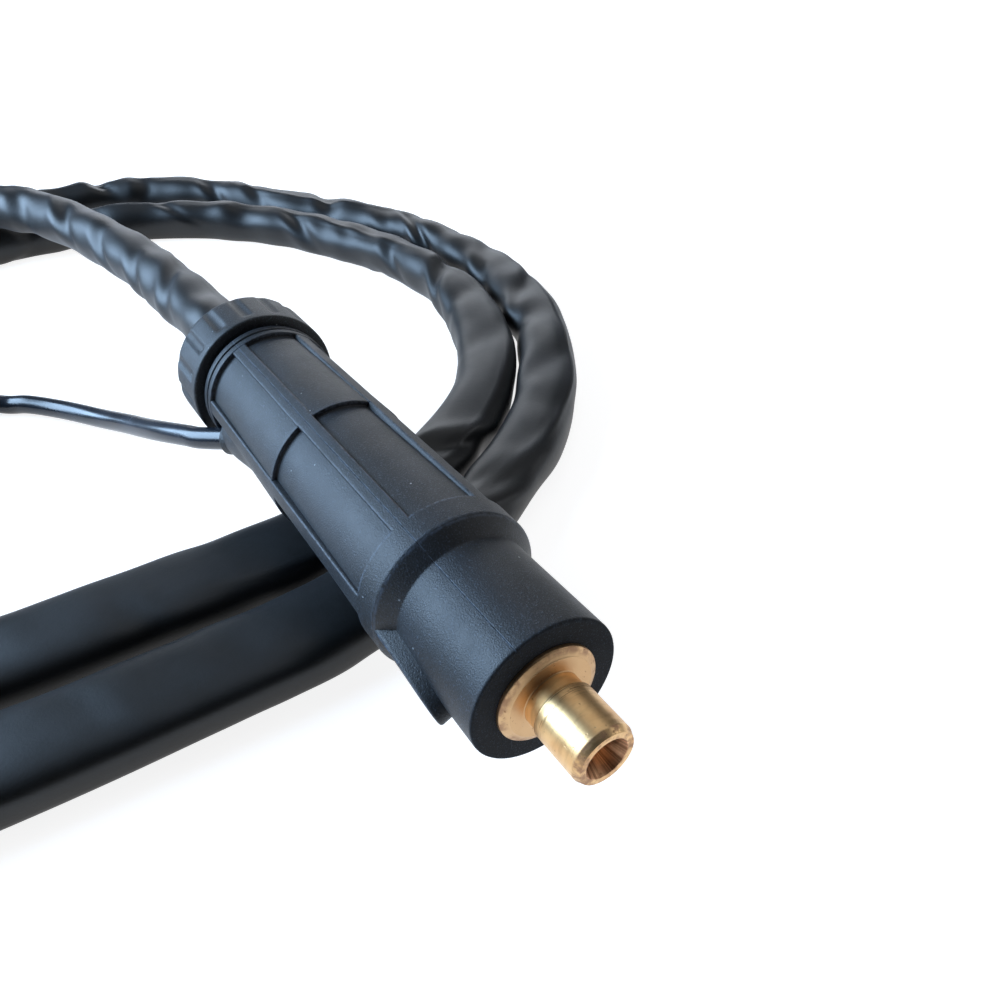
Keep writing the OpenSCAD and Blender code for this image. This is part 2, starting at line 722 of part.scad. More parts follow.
module neck_jacket() color([0.1, 0.1, 0.11]) on_torch() difference() {
    bar(jacket_r, handle_front - neck_seat, head_x);
    bar(neck_tube_r + fit, -far, far);
    along_head() bar(head_r + fit, -far, far);
}

// The head's own axis: +X points out of the gas cup
module along_head() translate([head_x, 0, 0]) rotate([0, 0, head_lean - 90]) children();

module head_body() color("peru") on_torch() difference() {
    along_head() bar(head_bore_r + head_wall, -head_length / 2, head_length / 2);
    along_head() bar(head_bore_r, -far, far);
}

module head_jacket() color([0.1, 0.1, 0.11]) on_torch() difference() {
    along_head() turned([
        [0, -head_length / 2], [head_r - 1, -head_length / 2], [head_r, -head_length / 2 + 1],
        [head_r, head_length / 2 - 1], [head_r - 1, head_length / 2], [0, head_length / 2]
    ]);
    along_head() bar(head_bore_r + head_wall + fit, -far, far);
    bar(neck_tube_r + fit, 0, head_x);
}

gasket_t = 2.0;
cup_x = head_length / 2 + gasket_t + 2 * fit;
collet_tip = cup_x + 18;
tip_x = cup_x + cup_length + electrode_out;
ring_t = 1.6;
cap_x = -head_length / 2 - ring_t - 2 * fit;

module collet_body() color("goldenrod") on_torch() along_head() difference() {
    turned([
        [0, 0], [head_bore_r - fit, 0], [head_bore_r - fit, cup_x + 2], [cup_r - cup_wall - 3.2, cup_x + 2],
        [cup_r - cup_wall - 3.2, collet_tip - 4], [3, collet_tip], [0, collet_tip]
    ]);
    bar(2.2, -1, collet_tip - 3);
    bar(electrode_r + gap, -far, far);
}

module collet() color("peru") on_torch() along_head() difference() {
    bar(2.2 - fit, -12, collet_tip - 4);
    bar(electrode_r + fit, -far, far);
}

module cup_gasket() color("white") on_torch() along_head() difference() {
    bar(head_r - 0.5, head_length / 2 + fit, head_length / 2 + fit + gasket_t);
    bar(head_bore_r + fit, -far, far);
}

module gas_cup() color("lightpink") on_torch() along_head() difference() {
    turned([
        [0, cup_x], [cup_r - 0.6, cup_x], [cup_r, cup_x + 0.6], [cup_r, cup_x + 12],
        [cup_mouth_r, cup_x + 26], [cup_mouth_r, cup_x + cup_length - 0.4],
        [cup_mouth_r - 0.4, cup_x + cup_length], [0, cup_x + cup_length]
    ]);
    turned([
        [0, cup_x - 1], [head_bore_r + gap, cup_x - 1], [head_bore_r + gap, cup_x + 10],
        [cup_mouth_r - cup_wall, cup_x + 20], [cup_mouth_r - cup_wall, cup_x + cup_length + 1],
        [0, cup_x + cup_length + 1]
    ]);
}

module cap_o_ring() color("black") on_torch() along_head()
    translate([cap_x + ring_t / 2 + fit, 0, 0]) rotate([0, 90, 0])
        rotate_extrude() translate([head_bore_r + ring_t / 2, 0]) circle(r = ring_t / 2, $fn = 24);

module back_cap() color([0.1, 0.1, 0.11]) on_torch() along_head() difference() {
    turned([
        [0, -6], [head_bore_r - 2 * fit, -6], [head_bore_r - 2 * fit, cap_x], [cap_r, cap_x],
        [cap_r, cap_x - 8], [cap_r - 2, cap_x - 14], [cap_r - 3.2, cap_x - cap_length + 3],
        [cap_r - 5.2, cap_x - cap_length], [0, cap_x - cap_length]
    ]);
    bar(2.2 + gap, 0, -13);
    bar(electrode_r + gap, 0, cap_x - cap_length + 4);
}

module electrode() color("gray") on_torch() along_head() turned([
    [0, cap_x - cap_length + 18], [electrode_r, cap_x - cap_length + 18], [electrode_r, tip_x - 5],
    [0.2, tip_x], [0, tip_x]
]);

plug_body();
clamp_screws();
power_cable();
crimp_ferrule();
housing_left();
housing_right();
collar_nut();
clamp_ring();
lead_grommet();
lead_inner();
hose_lead();
hose_coil();
hose_tail();
control_lead();
control_plug_shell();
control_plug_ring();
control_plug_insert();
control_plug_contacts();
control_plug_relief();
cable_boot();
handle_upper();
handle_lower();
handle_screws();
trigger_button();
microswitch();
switch_lead();
gas_and_power_tube();
neck_tube();
neck_jacket();
head_body();
head_jacket();
collet();
collet_body();
cup_gasket();
gas_cup();
cap_o_ring();
back_cap();
electrode();
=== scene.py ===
import bmesh
import bpy
import numpy as np
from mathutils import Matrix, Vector


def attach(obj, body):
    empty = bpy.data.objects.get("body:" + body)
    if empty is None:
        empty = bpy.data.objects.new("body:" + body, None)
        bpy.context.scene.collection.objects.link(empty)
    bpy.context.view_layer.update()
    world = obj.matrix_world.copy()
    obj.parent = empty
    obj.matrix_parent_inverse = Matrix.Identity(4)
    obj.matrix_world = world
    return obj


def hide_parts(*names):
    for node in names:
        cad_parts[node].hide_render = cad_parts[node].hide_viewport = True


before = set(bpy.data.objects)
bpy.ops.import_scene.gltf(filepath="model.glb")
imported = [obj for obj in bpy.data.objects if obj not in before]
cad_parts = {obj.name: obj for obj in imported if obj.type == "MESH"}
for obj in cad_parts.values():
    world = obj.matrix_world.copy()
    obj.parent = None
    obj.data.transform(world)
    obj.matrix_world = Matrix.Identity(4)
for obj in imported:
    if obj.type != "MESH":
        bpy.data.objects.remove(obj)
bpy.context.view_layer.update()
mm = 0.001          # shapes are worked out in millimetres and stored in metres

# the cable boot's root, the head's middle and the way that the gas cup points
torchAt = np.array([-236, -266, -2.625])
headAt = torchAt + [208, 0, 0]
headWay = np.array([np.cos(np.radians(-70)), np.sin(np.radians(-70)), 0])


# Grids, lines and turned shapes

def smooth(t):
    # 3t^2 - 2t^3, held at 0 and 1 outside
    k = np.clip(t, 0, 1)
    return k * k * (3 - 2 * k)


def bell(t):
    # (1 - t^2)^2 between -1 and 1, and 0 outside
    return np.where(np.abs(t) < 1, (1 - t * t) ** 2, 0)


def lowerOf(a, b, blend):
    # the smaller of two values, eased over a width of blend where they cross
    h = np.clip(0.5 + 0.5 * (b - a) / blend, 0, 1)
    return b * (1 - h) + a * h - blend * h * (1 - h)


def higherOf(a, b, blend):
    return -lowerOf(-a, -b, blend)


def unit(v):
    return v / np.linalg.norm(v, axis=-1, keepdims=True)


def sideAndUp(way):
    # square to the way: level and to its right, and up
    side = unit(np.cross(way, [0, 0, 1]))
    return side, np.cross(side, way)


def roundedLine(corners, closed=True, steps=4):
    # corners are (x, radius, cut): each becomes a quadratic curve between the two points
    # that lie its cut away along the neighbouring edges
    c = np.array(corners, float)
    t = np.linspace(0, 1, steps + 1)[:, None]
    line = []
    for i, (here, cut) in enumerate(zip(c[:, :2], c[:, 2])):
        if cut == 0 or (not closed and i in (0, len(c) - 1)):
            line.append(here[None])
            continue
        ends = []
        for other in (c[i - 1, :2], c[(i + 1) % len(c), :2]):
            run = np.linalg.norm(other - here)
            ends.append(here + (other - here) / run * min(cut, 0.49 * run))
        line.append((1 - t) ** 2 * ends[0] + 2 * t * (1 - t) * here + t ** 2 * ends[1])
    line = np.concatenate(line)
    return np.concatenate([line, line[:1]]) if closed else line


def spaced(line, gap):
    # points are added along each edge until no step is longer than gap, a number or a function of x
    parts = []
    for a, b in zip(line[:-1], line[1:]):
        longest = gap(0.5 * (a[0] + b[0])) if callable(gap) else gap
        n = max(1, int(np.ceil(np.hypot(*(b - a)) / longest)))
        parts.append(a + (b - a) * np.arange(n)[:, None] / n)
    return np.concatenate(parts + [line[-1:]])


def gridFaces(rows, columns, wrap):
    # quads between neighbouring rows and columns; wrap joins the last column to the first
    r, c = np.meshgrid(np.arange(rows - 1), np.arange(columns if wrap else columns - 1), indexing="ij")
    nextC = (c + 1) % columns
    return np.stack([r * columns + c, r * columns + nextC,
                     (r + 1) * columns + nextC, (r + 1) * columns + c], -1).reshape(-1, 4).tolist()


def tubeFaces(rings, sides):
    # a wrapped grid with a flat face over each end
    ends = [list(range(sides)), list(range((rings - 1) * sides, rings * sides))]
    return gridFaces(rings, sides, True) + ends


def linked(name, data):
    thing = bpy.data.objects.new(name, data)
    bpy.context.scene.collection.objects.link(thing)
    return thing


def cleanPiece(name, mesh, finish, sharp, merge, flat=0):
    # points closer than merge become one, faces turn outward, faces within flat degrees of
    # their neighbours join them, and edges steeper than sharp degrees stay sharp
    bm = bmesh.new()
    bm.from_mesh(mesh)
    bmesh.ops.remove_doubles(bm, verts=bm.verts, dist=merge)
    bmesh.ops.recalc_face_normals(bm, faces=bm.faces)
    if flat:
        bmesh.ops.dissolve_limit(bm, angle_limit=np.radians(flat), verts=bm.verts, edges=bm.edges)
    bm.to_mesh(mesh)
    bm.free()
    mesh.shade_smooth()
    mesh.set_sharp_from_angle(angle=np.radians(sharp))
    mesh.materials.append(finish)
    return linked(name, mesh)


def meshPiece(name, points, faces, finish, body="torch_and_lead", replaces=(), marks=None, sharp=40):
    # points are an (n, 3) array in millimetres; marks are named numbers, one for each point
    mesh = bpy.data.meshes.new(name)
    mesh.from_pydata((points * mm).tolist(), [], faces)
    for key, values in (marks or {}).items():
        mesh.attributes.new(key, "FLOAT", "POINT").data.foreach_set("value", values.astype(np.float32))
    piece = cleanPiece(name, mesh, finish, sharp, 1e-7)
    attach(piece, body)
    if replaces:
        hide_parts(*replaces)
    return piece


def turnedPiece(name, line, finish, at=(0, 0, 0), way=(1, 0, 0), columns=96, reshape=None, **more):
    # a line of (x, radius) carried round an axis: x runs from at along the way, the angle from
    # up to the left, and reshape(x, radius, angle) may change each point's radius
    angle = np.linspace(0, 2 * np.pi, columns, endpoint=False)[None]
    x, r = line[:, :1] + 0 * angle, line[:, 1:] + 0 * angle
    if reshape:
        r = reshape(x, r, angle)
    way = unit(np.array(way, float))
    side, up = sideAndUp(way)
    points = (np.array(at) + x[..., None] * way - (r * np.sin(angle))[..., None] * side
              + (r * np.cos(angle))[..., None] * up)
    return meshPiece(name, points.reshape(-1, 3), gridFaces(len(line), columns, True), finish, **more)


# Finishes: expressions on Wire values add the nodes

class Wire:
    def __init__(self, board, socket):
        self.board, self.socket = board, socket

    def output(self, key):
        # another output of the same node
        return Wire(self.board, self.socket.node.outputs[key])

    def maths(self, operation, *values):
        return self.board.make("Math", {"operation": operation}, dict(enumerate(values)))

    def __add__(self, other): return self.maths("ADD", self, other)
    __radd__ = __add__
    def __sub__(self, other): return self.maths("SUBTRACT", self, other)
    def __rsub__(self, other): return self.maths("SUBTRACT", other, self)
    def __mul__(self, other): return self.maths("MULTIPLY", self, other)
    __rmul__ = __mul__
    def __gt__(self, other): return self.maths("GREATER_THAN", self, other)
    def __lt__(self, other): return self.maths("LESS_THAN", self, other)


class Board:
    # the nodes of one material or world
    def __init__(self, tree):
        self.tree = tree

    def make(self, kind, settings=None, values=None, output=0):
        node = self.tree.nodes.new("ShaderNode" + kind)
        for key, value in (settings or {}).items():
            setattr(node, key, value)
        for key, value in (values or {}).items():
            self.feed(node.inputs[key], value)
        return Wire(self, node.outputs[output])

    def feed(self, socket, value):
        if isinstance(value, Wire):
            self.tree.links.new(value.socket, socket)
        else:
            socket.default_value = value

    def mixed(self, factor, a, b):
        return self.make("Mix", {"data_type": "RGBA"}, {0: factor, 6: a, 7: b}, 2)

    def between(self, value, low, high):
        # 0 below low, 1 above high, eased between them
        return self.make("MapRange", {"interpolation_type": "SMOOTHSTEP"},
                         {"Value": value, "From Min": low, "From Max": high})

    def noise(self, place, scale, detail=2.0, roughness=0.5):
        return self.make("TexNoise", {}, {"Vector": place, "Scale": scale, "Detail": detail,
                                          "Roughness": roughness})


class Paint(Board):
    def __init__(self, name, **constants):
        self.material = bpy.data.materials.new(name)
        self.material.use_nodes = True
        super().__init__(self.material.node_tree)
        self.shader = self.tree.nodes["Principled BSDF"]
        for key, value in constants.items():
            self.shader.inputs[key.replace("_", " ")].default_value = value
        self.place = self.make("TexCoord", output="Object")

    def stretched(self, scale, turn=(0, 0, 0)):
        return self.make("Mapping", {}, {"Vector": self.place, "Scale": scale, "Rotation": turn})

    def mark(self, name):
        return self.make("Attribute", {"attribute_name": name}, output="Fac")

    def surface(self, **inputs):
        for key, value in inputs.items():
            self.feed(self.shader.inputs[key.replace("_", " ")], value)
        return self.material

    def bumped(self, height, depth, strength=1.0):
        # depth is in metres, for a height that runs from 0 to 1
        return self.make("Bump", {}, {"Strength": strength, "Distance": depth, "Height": height})


def tone(red, green, blue):
    # a screen colour, 0 to 255, as linear light
    c = np.array([red, green, blue]) / 255
    c = np.where(c <= 0.04045, c / 12.92, ((c + 0.055) / 1.055) ** 2.4)
    return (*c.tolist(), 1.0)


# the worn colour is a pale blue-grey that serves rubbed places, and also painted glints on the grain and
# painted highlight lines along edges
mouldedPlasticLook = {"dark": tone(17, 19, 22), "light": tone(27, 30, 35), "wornAndHighlight": tone(78, 88, 102),
                      "dust": tone(190, 194, 198), "dustScale": 260, "grain": 2900, "grainDepth": 0.0002}


def mouldedPlastic(name, look, dusty=True, rough=(0.44, 0.58)):
    p = Paint(name, Specular_IOR_Level=0.5)
    grain = p.noise(p.place, look["grain"], 2.0, 0.6)
    broad = p.noise(p.place, 60, 3.0)
    colour = p.mixed(p.between(broad, 0.35, 0.7), look["dark"], look["light"])
    # painted glints: the grain's high spots take the pale blue-grey colour, which stands in for light
    # glinting off the grain
    colour = p.mixed(p.between(grain, 0.56, 0.7) * 0.5, colour, look["wornAndHighlight"])
    # rubbed places take the same pale colour, partly as wear and partly as painted highlight lines along
    # the edges
    rubbed = p.mark("wearAndEdgeHighlight") * p.between(p.noise(p.place, 900), 0.3, 0.62)
    colour = p.mixed(rubbed * 0.75, colour, look["wornAndHighlight"])
    scratch = p.noise(p.stretched((160, 1500, 1500), (0.3, 0.2, 0.5)), 1.0, 1.0)
    scratch = p.between(scratch, 0.74, 0.77)
    if dusty:
        cell = p.make("TexVoronoi", {}, {"Vector": p.place, "Scale": look["dustScale"]}, "Distance")
        pick = p.make("SeparateColor", {}, {0: cell.output("Color")})
        speck = (cell < 0.05) * (pick > 0.72)
        colour = p.mixed(speck * 0.55, colour, look["dust"])
    x = p.make("SeparateXYZ", {}, {0: p.place}, "X")
    onFace = p.between(x, -0.0114, -0.0109)          # the nose's end face is left coarse by its mould
    return p.surface(
        Base_Color=colour,
        Roughness=p.make("MapRange", {}, {"Value": p.noise(p.place, 180, 4.0), "To Min": rough[0],
                                          "To Max": rough[1]}) + onFace * 0.4,
        Normal=p.bumped(grain - scratch * 0.15, look["grainDepth"], 0.6))


brassLook = {"clean": tone(232, 192, 138), "warm": tone(214, 166, 112), "stain": tone(120, 80, 50),
             "copper": tone(236, 184, 144), "neck": tone(250, 200, 136), "flange": tone(202, 166, 124),
             "patina": tone(142, 104, 86)}


def brass(name, look):
    p = Paint(name, Metallic=1.0)
    broad = p.noise(p.place, 130, 4.0, 0.6)
    turning = p.noise(p.stretched((4200, 60, 60)), 1.0, 3.0)
    spots = p.between(p.noise(p.place, 1150, 1.0), 0.7, 0.76)
    rubbed = p.between(p.noise(p.stretched((700, 160, 160)), 1.0, 3.0), 0.45, 0.75)
    parts = p.make("SeparateXYZ", {}, {0: p.place})
    x, y, z = (parts.output(key) for key in "XYZ")
    inNeck = p.between(x, -0.0105, -0.0085) * (1 - p.between(x, -0.0064, -0.0054))
    # fine dark scratches round the pin, thickest next to the neck
    scored = p.between(p.noise(p.stretched((5200, 150, 150)), 1.0, 1.0), 0.56, 0.64)
    scored = scored * p.between(x, -0.0062, -0.0056) * (1 - p.between(x, -0.005, -0.0015))
    # streaks that run down the countersink, from a noise of the angle round the axis
    streak = p.noise(p.make("CombineXYZ", {}, {0: y.maths("ARCTAN2", y, z) * 5.0}), 1.0, 3.0)
    bore = p.mark("bore")
    colour = p.mixed(p.between(broad, 0.4, 0.65) * 0.7, look["clean"], look["warm"])
    # painted reflection: the neck is given a paler, brighter gold that stands in for light thrown back
    # onto it from the flange's face
    colour = p.mixed(inNeck * 0.8, colour, look["neck"])
    # the flange is duller, and a patina lies on its rim and over the pin's front edge
    onFlange = 1 - p.between(x, -0.0089, -0.0085)
    colour = p.mixed(onFlange * 0.9, colour, look["flange"])
    patina = p.between(x, 0.0051, 0.0058) + (1 - p.between(x, -0.0096, -0.0091)) * 0.8
    patina = patina * p.between(p.noise(p.place, 340, 4.0, 0.65), 0.4, 0.62)
    colour = p.mixed(patina * 0.75, colour, look["patina"])
    colour = p.mixed(bore * 0.8, colour, look["copper"])
    colour = p.mixed(bore * p.between(streak, 0.42, 0.58) * 0.7, colour, look["stain"])
    colour = p.mixed(spots * 0.35 + rubbed * 0.25 + scored * 0.7, colour, look["stain"])
    return p.surface(
        Base_Color=colour,
        Roughness=0.22 + broad * 0.2 + turning * 0.08 + spots * 0.15 + inNeck * 0.12 + bore * 0.06
        + patina * 0.2,
        Normal=p.bumped(turning * 0.7 + rubbed * 0.3 - spots * 0.6 - scored * 0.9, 0.00004, 0.8))


def plainMetal(name, clean, dull, rough, lines=(300, 300, 300), depth=0.00001):
    p = Paint(name, Metallic=1.0)
    broad = p.noise(p.place, 140, 4.0, 0.6)
    fine = p.noise(p.stretched(lines), 1.0, 3.0)
    return p.surface(Base_Color=p.mixed(p.between(broad, 0.35, 0.75), clean, dull),
                     Roughness=rough + broad * 0.14 + fine * 0.06,
                     Normal=p.bumped(fine, depth, 0.6))


def rubber(name, dark, light, rough=0.55, grain=1500, depth=0.00006, sheen=0.0):
    p = Paint(name, Sheen_Weight=sheen, Sheen_Roughness=0.4)
    fine = p.noise(p.place, grain, 3.0, 0.6)
    broad = p.noise(p.place, 70, 3.0)
    return p.surface(Base_Color=p.mixed(p.between(broad + fine * 0.3, 0.4, 0.85), dark, light),
                     Roughness=rough + (broad - 0.5) * 0.2,
                     Normal=p.bumped(fine, depth, 0.5))


sleeveLook = {"dark": tone(6, 7, 8), "light": tone(17, 18, 20), "rubbed": tone(44, 48, 56),
              "grain": 2100, "grainDepth": 0.00005}


def sleeve(name, look):
    p = Paint(name, Sheen_Weight=0.05, Sheen_Roughness=0.35, Sheen_Tint=tone(190, 208, 235))
    fine = p.noise(p.place, look["grain"], 3.0, 0.6)
    pores = p.make("TexVoronoi", {}, {"Vector": p.place, "Scale": 1500.0}, "Distance")
    broad = p.noise(p.place, 45, 4.0, 0.55)
    ridge = p.mark("ridge")
    colour = p.mixed(p.between(broad, 0.35, 0.7), look["dark"], look["light"])
    # the crests of the folds and the seam take a paler blue-grey: partly rubbed, partly a painted
    # highlight
    colour = p.mixed(ridge * p.between(fine, 0.35, 0.65) * 0.5, colour, look["rubbed"])
    soft = p.noise(p.place, 150, 3.0, 0.6)
    return p.surface(Base_Color=colour,
                     Roughness=0.34 + broad * 0.16 + soft * 0.1 - ridge * 0.06,
                     Normal=p.bumped(fine * 0.5 + pores * 0.3 + soft * 2.0, look["grainDepth"], 0.6))


ceramicLook = {"pale": tone(226, 176, 160), "warm": tone(214, 160, 144), "speck": tone(170, 120, 104),
               "burnt": tone(110, 84, 74), "burntFrom": 0.2855, "burntFull": 0.302}


def ceramic(name, look):
    # browned by heat towards the cup's tip: burntFrom and burntFull are measured along its axis
    p = Paint(name, Specular_IOR_Level=0.5)
    speck = p.between(p.noise(p.place, 1700, 2.0), 0.6, 0.75)
    broad = p.noise(p.place, 80, 4.0, 0.6)
    along = p.make("VectorMath", {"operation": "DOT_PRODUCT"},
                   {0: p.place, 1: headWay.tolist()}, "Value")
    heat = p.between(along + (broad - 0.5) * 0.008, look["burntFrom"], look["burntFull"])
    colour = p.mixed(p.between(broad, 0.3, 0.7), look["pale"], look["warm"])
    colour = p.mixed(speck * 0.3, colour, look["speck"])
    colour = p.mixed(heat * 0.6, colour, look["burnt"])
    return p.surface(Base_Color=colour, Roughness=0.42 + broad * 0.2,
                     Normal=p.bumped(broad + speck * 0.3, 0.00003, 0.4))


finishes = {
    "housing": mouldedPlastic("housingPlastic", mouldedPlasticLook),
    "handle": mouldedPlastic("handlePlastic", mouldedPlasticLook, False, (0.42, 0.56)),
    "brass": brass("brass", brassLook),
    "copper": plainMetal("copper", tone(214, 128, 92), tone(150, 82, 56), 0.3, (900, 900, 900)),
    "steel": plainMetal("nickelPlate", tone(196, 198, 202), tone(150, 152, 156), 0.22, (80, 2600, 80)),
    "sleeve": sleeve("blackSleeve", sleeveLook),
    "lead": rubber("controlLeadJacket", tone(26, 30, 37), tone(40, 46, 56), 0.25, 900, 0.00002),
    "rubber": rubber("blackRubber", tone(18, 18, 20), tone(34, 34, 36), 0.6),
    "insert": rubber("insertPlastic", tone(38, 40, 44), tone(52, 54, 58), 0.5),
    "trigger": rubber("triggerPlastic", tone(150, 26, 22), tone(176, 36, 30), 0.36, 2200, 0.00004),
    "phenolic": rubber("capPhenolic", tone(14, 14, 15), tone(26, 26, 27), 0.28, 1300, 0.00003),
    "gasket": rubber("gasketWhite", tone(222, 222, 216), tone(236, 236, 230), 0.45),
    "ceramic": ceramic("ceramic", ceramicLook),
    "tungsten": plainMetal("tungsten", tone(150, 150, 152), tone(96, 96, 100), 0.3, (2600, 90, 90)),
}
print("finishes", len(finishes))


# Camera, floor and light

cameraPlan = {"place": (0.0762, -0.068, 0.1291), "azimuth": 146.3, "down": 37.7, "lens": 32.832}

cameraData = bpy.data.cameras.new("camera")
cameraData.lens = cameraPlan["lens"]
cameraData.sensor_width = 36
cameraData.clip_start = 0.01
camera = linked("camera", cameraData)
azimuth, down = np.radians(cameraPlan["azimuth"]), np.radians(cameraPlan["down"])
lookWay = Vector((np.cos(down) * np.cos(azimuth), np.cos(down) * np.sin(azimuth), -np.sin(down)))
camera.location = cameraPlan["place"]
camera.rotation_euler = lookWay.to_track_quat("-Z", "Y").to_euler()
bpy.context.scene.camera = camera
bpy.context.scene.view_settings.view_transform = "Standard"

floorPlan = {"height": -32.0, "half": 9000, "colour": tone(168, 170, 174), "glow": 0.86,
             "shade": (0.5, 0.5, 0.5, 1)}

floorMesh = bpy.data.meshes.new("floor")
floorCorners = np.array([(-1, -1, 0), (1, -1, 0), (1, 1, 0), (-1, 1, 0)]) * floorPlan["half"]
floorMesh.from_pydata(((floorCorners + [0, 0, floorPlan["height"]]) * mm).tolist(), [], [(0, 1, 2, 3)])
linked("floor", floorMesh)


def whereSeen(board):
    # 1 for rays that show the backdrop itself: straight from the camera, mirrored or refracted
    path = board.make("LightPath")
    straight, mirrored, through = (path.output(f"Is {kind} Ray")
                                   for kind in ("Camera", "Glossy", "Transmission"))
    return path.maths("MAXIMUM", straight, path.maths("MAXIMUM", mirrored, through))


floorPaint = Paint("paleFloor")
floorPaint.tree.nodes.remove(floorPaint.shader)
plain = floorPaint.make("BsdfDiffuse", {}, {"Color": floorPlan["colour"]})
shaded = floorPaint.make("BsdfDiffuse", {}, {"Color": floorPlan["shade"]})
glow = floorPaint.make("Emission", {}, {"Color": (1, 1, 1, 1), "Strength": floorPlan["glow"]})
seenFloor = floorPaint.make("AddShader", {}, {0: shaded, 1: glow})
floorPaint.feed(floorPaint.tree.nodes["Material Output"].inputs["Surface"],
                floorPaint.make("MixShader", {}, {0: whereSeen(floorPaint), 1: plain, 2: seenFloor}))
floorMesh.materials.append(floorPaint.material)

# the sky is white to the camera; to the rest of the scene it is dim, and darkest along darkWay
skyPlan = {"colour": (0.86, 0.92, 1.0, 1), "level": 0.12, "dark": 0.03, "darkWay": (0.83, -0.55, 0.1),
           "darkFrom": -0.2, "darkFull": 0.75}

world = bpy.data.worlds.new("studio")
world.use_nodes = True
bpy.context.scene.world = world
sky = Board(world.node_tree)
skyWay = sky.make("TexCoord", output="Generated")
towardDark = sky.make("VectorMath", {"operation": "DOT_PRODUCT"},
                      {0: skyWay, 1: skyPlan["darkWay"]}, "Value")
skyLevel = sky.make("MapRange", {"interpolation_type": "SMOOTHSTEP"}, {
    "Value": towardDark, "From Min": skyPlan["darkFrom"], "From Max": skyPlan["darkFull"],
    "To Min": skyPlan["level"], "To Max": skyPlan["dark"]})
skyCamera = sky.make("LightPath").output("Is Camera Ray")
background = world.node_tree.nodes["Background"]
sky.feed(background.inputs["Color"], sky.mixed(skyCamera, skyPlan["colour"], (1, 1, 1, 1)))
sky.feed(background.inputs["Strength"], skyLevel * (1 - skyCamera) + skyCamera)

lamps = {
    "windowLeft": {"place": (-0.76, -0.84, 0.5), "aim": (-0.08, 0, 0), "size": (0.95, 0.8), "power": 36,
                   "colour": (0.5, 0.72, 1.0)},
    "softTop": {"place": (-0.35, 0.35, 0.95), "aim": (-0.1, -0.05, 0), "size": (0.8, 0.8), "power": 1.4,
                "colour": (0.96, 0.98, 1.0)},
    "softBack": {"place": (-1.06, 0.47, 0.27), "aim": (-0.1, 0.03, 0), "size": (0.8, 0.36), "power": 3.0,
                 "colour": (0.88, 0.93, 1.0)},
    "fillRight": {"place": (0.35, 0.85, 0.5), "aim": (0, 0, 0), "size": (0.5, 0.5), "power": 1.3,
                  "colour": (0.92, 0.95, 1.0)},
}
for name, lamp in lamps.items():
    light = bpy.data.lights.new(name, "AREA")
    light.shape = "RECTANGLE"
    light.size, light.size_y = lamp["size"]
    light.energy = lamp["power"]
    light.color = lamp["colour"]
    lampObject = linked(name, light)
    lampObject.location = lamp["place"]
    shine = Vector(lamp["aim"]) - Vector(lamp["place"])
    lampObject.rotation_euler = shine.to_track_quat("-Z", "Y").to_euler()
print("camera, floor and lamps")


# The sleeved hose

hosePlan = {
    "radius": 8.5, "restTop": 8.075, "roundHeight": -25.2, "mostOut": 12.95, "mostMove": (-3.2, 1.0),
    "flatHalfWidth": 12.75, "flatTop": 6.4, "flatFoot": 6.0, "flatHeight": -26.0, "floor": -32.0,
    "start": 195, "end": 1530, "sides": 44, "seenStep": 1.5, "hiddenStep": 3.6,
    "creaseEvery": 15.5, "creaseDepth": 2.3, "rimHeight": 0.85, "seamHeight": 0.55,
    "swellHeight": 0.35, "rippleHeight": 0.3, "waveHeight": 0.42, "seed": 11,
}


def wideLoop(a):
    # a circle whose radius shrinks by 24 a turn, drawn in or swelling where it lies against its
    # neighbours, with its near half drawn out towards -Y
    r = (154 - 24 * (a - 450) / 360 - 2.6 * bell((a - 398) / 45) + 21 * bell((a - 524) / 38)
         + 2.2 * bell((a - 800) / 60) + 9 * bell((a - 885) / 60))
    s = np.maximum(0, -np.sin(np.radians(a)))
    x = -230 + r * np.cos(np.radians(a)) - 2.5 * bell((a - 340) / 70) - 9 * bell((a - 700) / 70)
    return np.stack([x, -30 + r * np.sin(np.radians(a)) - 165 * (1 - (1 - s) ** 2.5)], -1)


def smallLoop(a):
    # a spiral whose radius shrinks by 18.5 a turn
    r = 98 - 18.5 * (a - 1080) / 360 - 5 * smooth((a - 1350) / 180)
    return np.stack([-230 + r * np.cos(np.radians(a)), -198 + r * np.sin(np.radians(a))], -1)


def coilAt(a):
    k = smooth((a - 900) / 180)[..., None]
    return wideLoop(a) * (1 - k) + smallLoop(a) * k


def coilFlatness(a):
    # fully pressed under the plug, and a third as much along the stretch behind it
    near = (a + 180) % 360 - 180
    fades = 1 - 0.65 * smooth((near - 5) / 20) - 0.35 * smooth((near - 75) / 30)
    return np.where(a > 800, 0, smooth((near + 34) / 18) * fades)


def splineThrough(points, step):
    # Catmull-Rom through the points, then read off again at an even step along its length
    p = np.concatenate([[2 * points[0] - points[1]], points, [2 * points[-1] - points[-2]]])
    t = np.linspace(0, 1, 12, endpoint=False)[None, :, None]
    p0, p1, p2, p3 = (p[i:len(p) - 3 + i, None] for i in range(4))
    dense = 0.5 * (2 * p1 + (p2 - p0) * t + (2 * p0 - 5 * p1 + 4 * p2 - p3) * t ** 2
                   + (3 * p1 - p0 - 3 * p2 + p3) * t ** 3)
    dense = np.concatenate([dense.reshape(-1, p.shape[1]), points[-1:]])
    run = np.concatenate([[0], np.cumsum(np.linalg.norm(np.diff(dense[:, :3], axis=0), axis=1))])
    even = np.linspace(0, run[-1], int(run[-1] / step) + 1)
    return even, np.stack([np.interp(even, run, dense[:, k]) for k in range(dense.shape[1])], -1)


def eased(values, width):
    # a moving average, twice, with the ends held
    kernel = np.ones(width) / width
    for _ in range(2):
        padded = np.pad(values, ((width // 2, width - 1 - width // 2), (0, 0)), "edge")
        values = np.stack([np.convolve(column, kernel, "valid") for column in padded.T], -1)
    return values


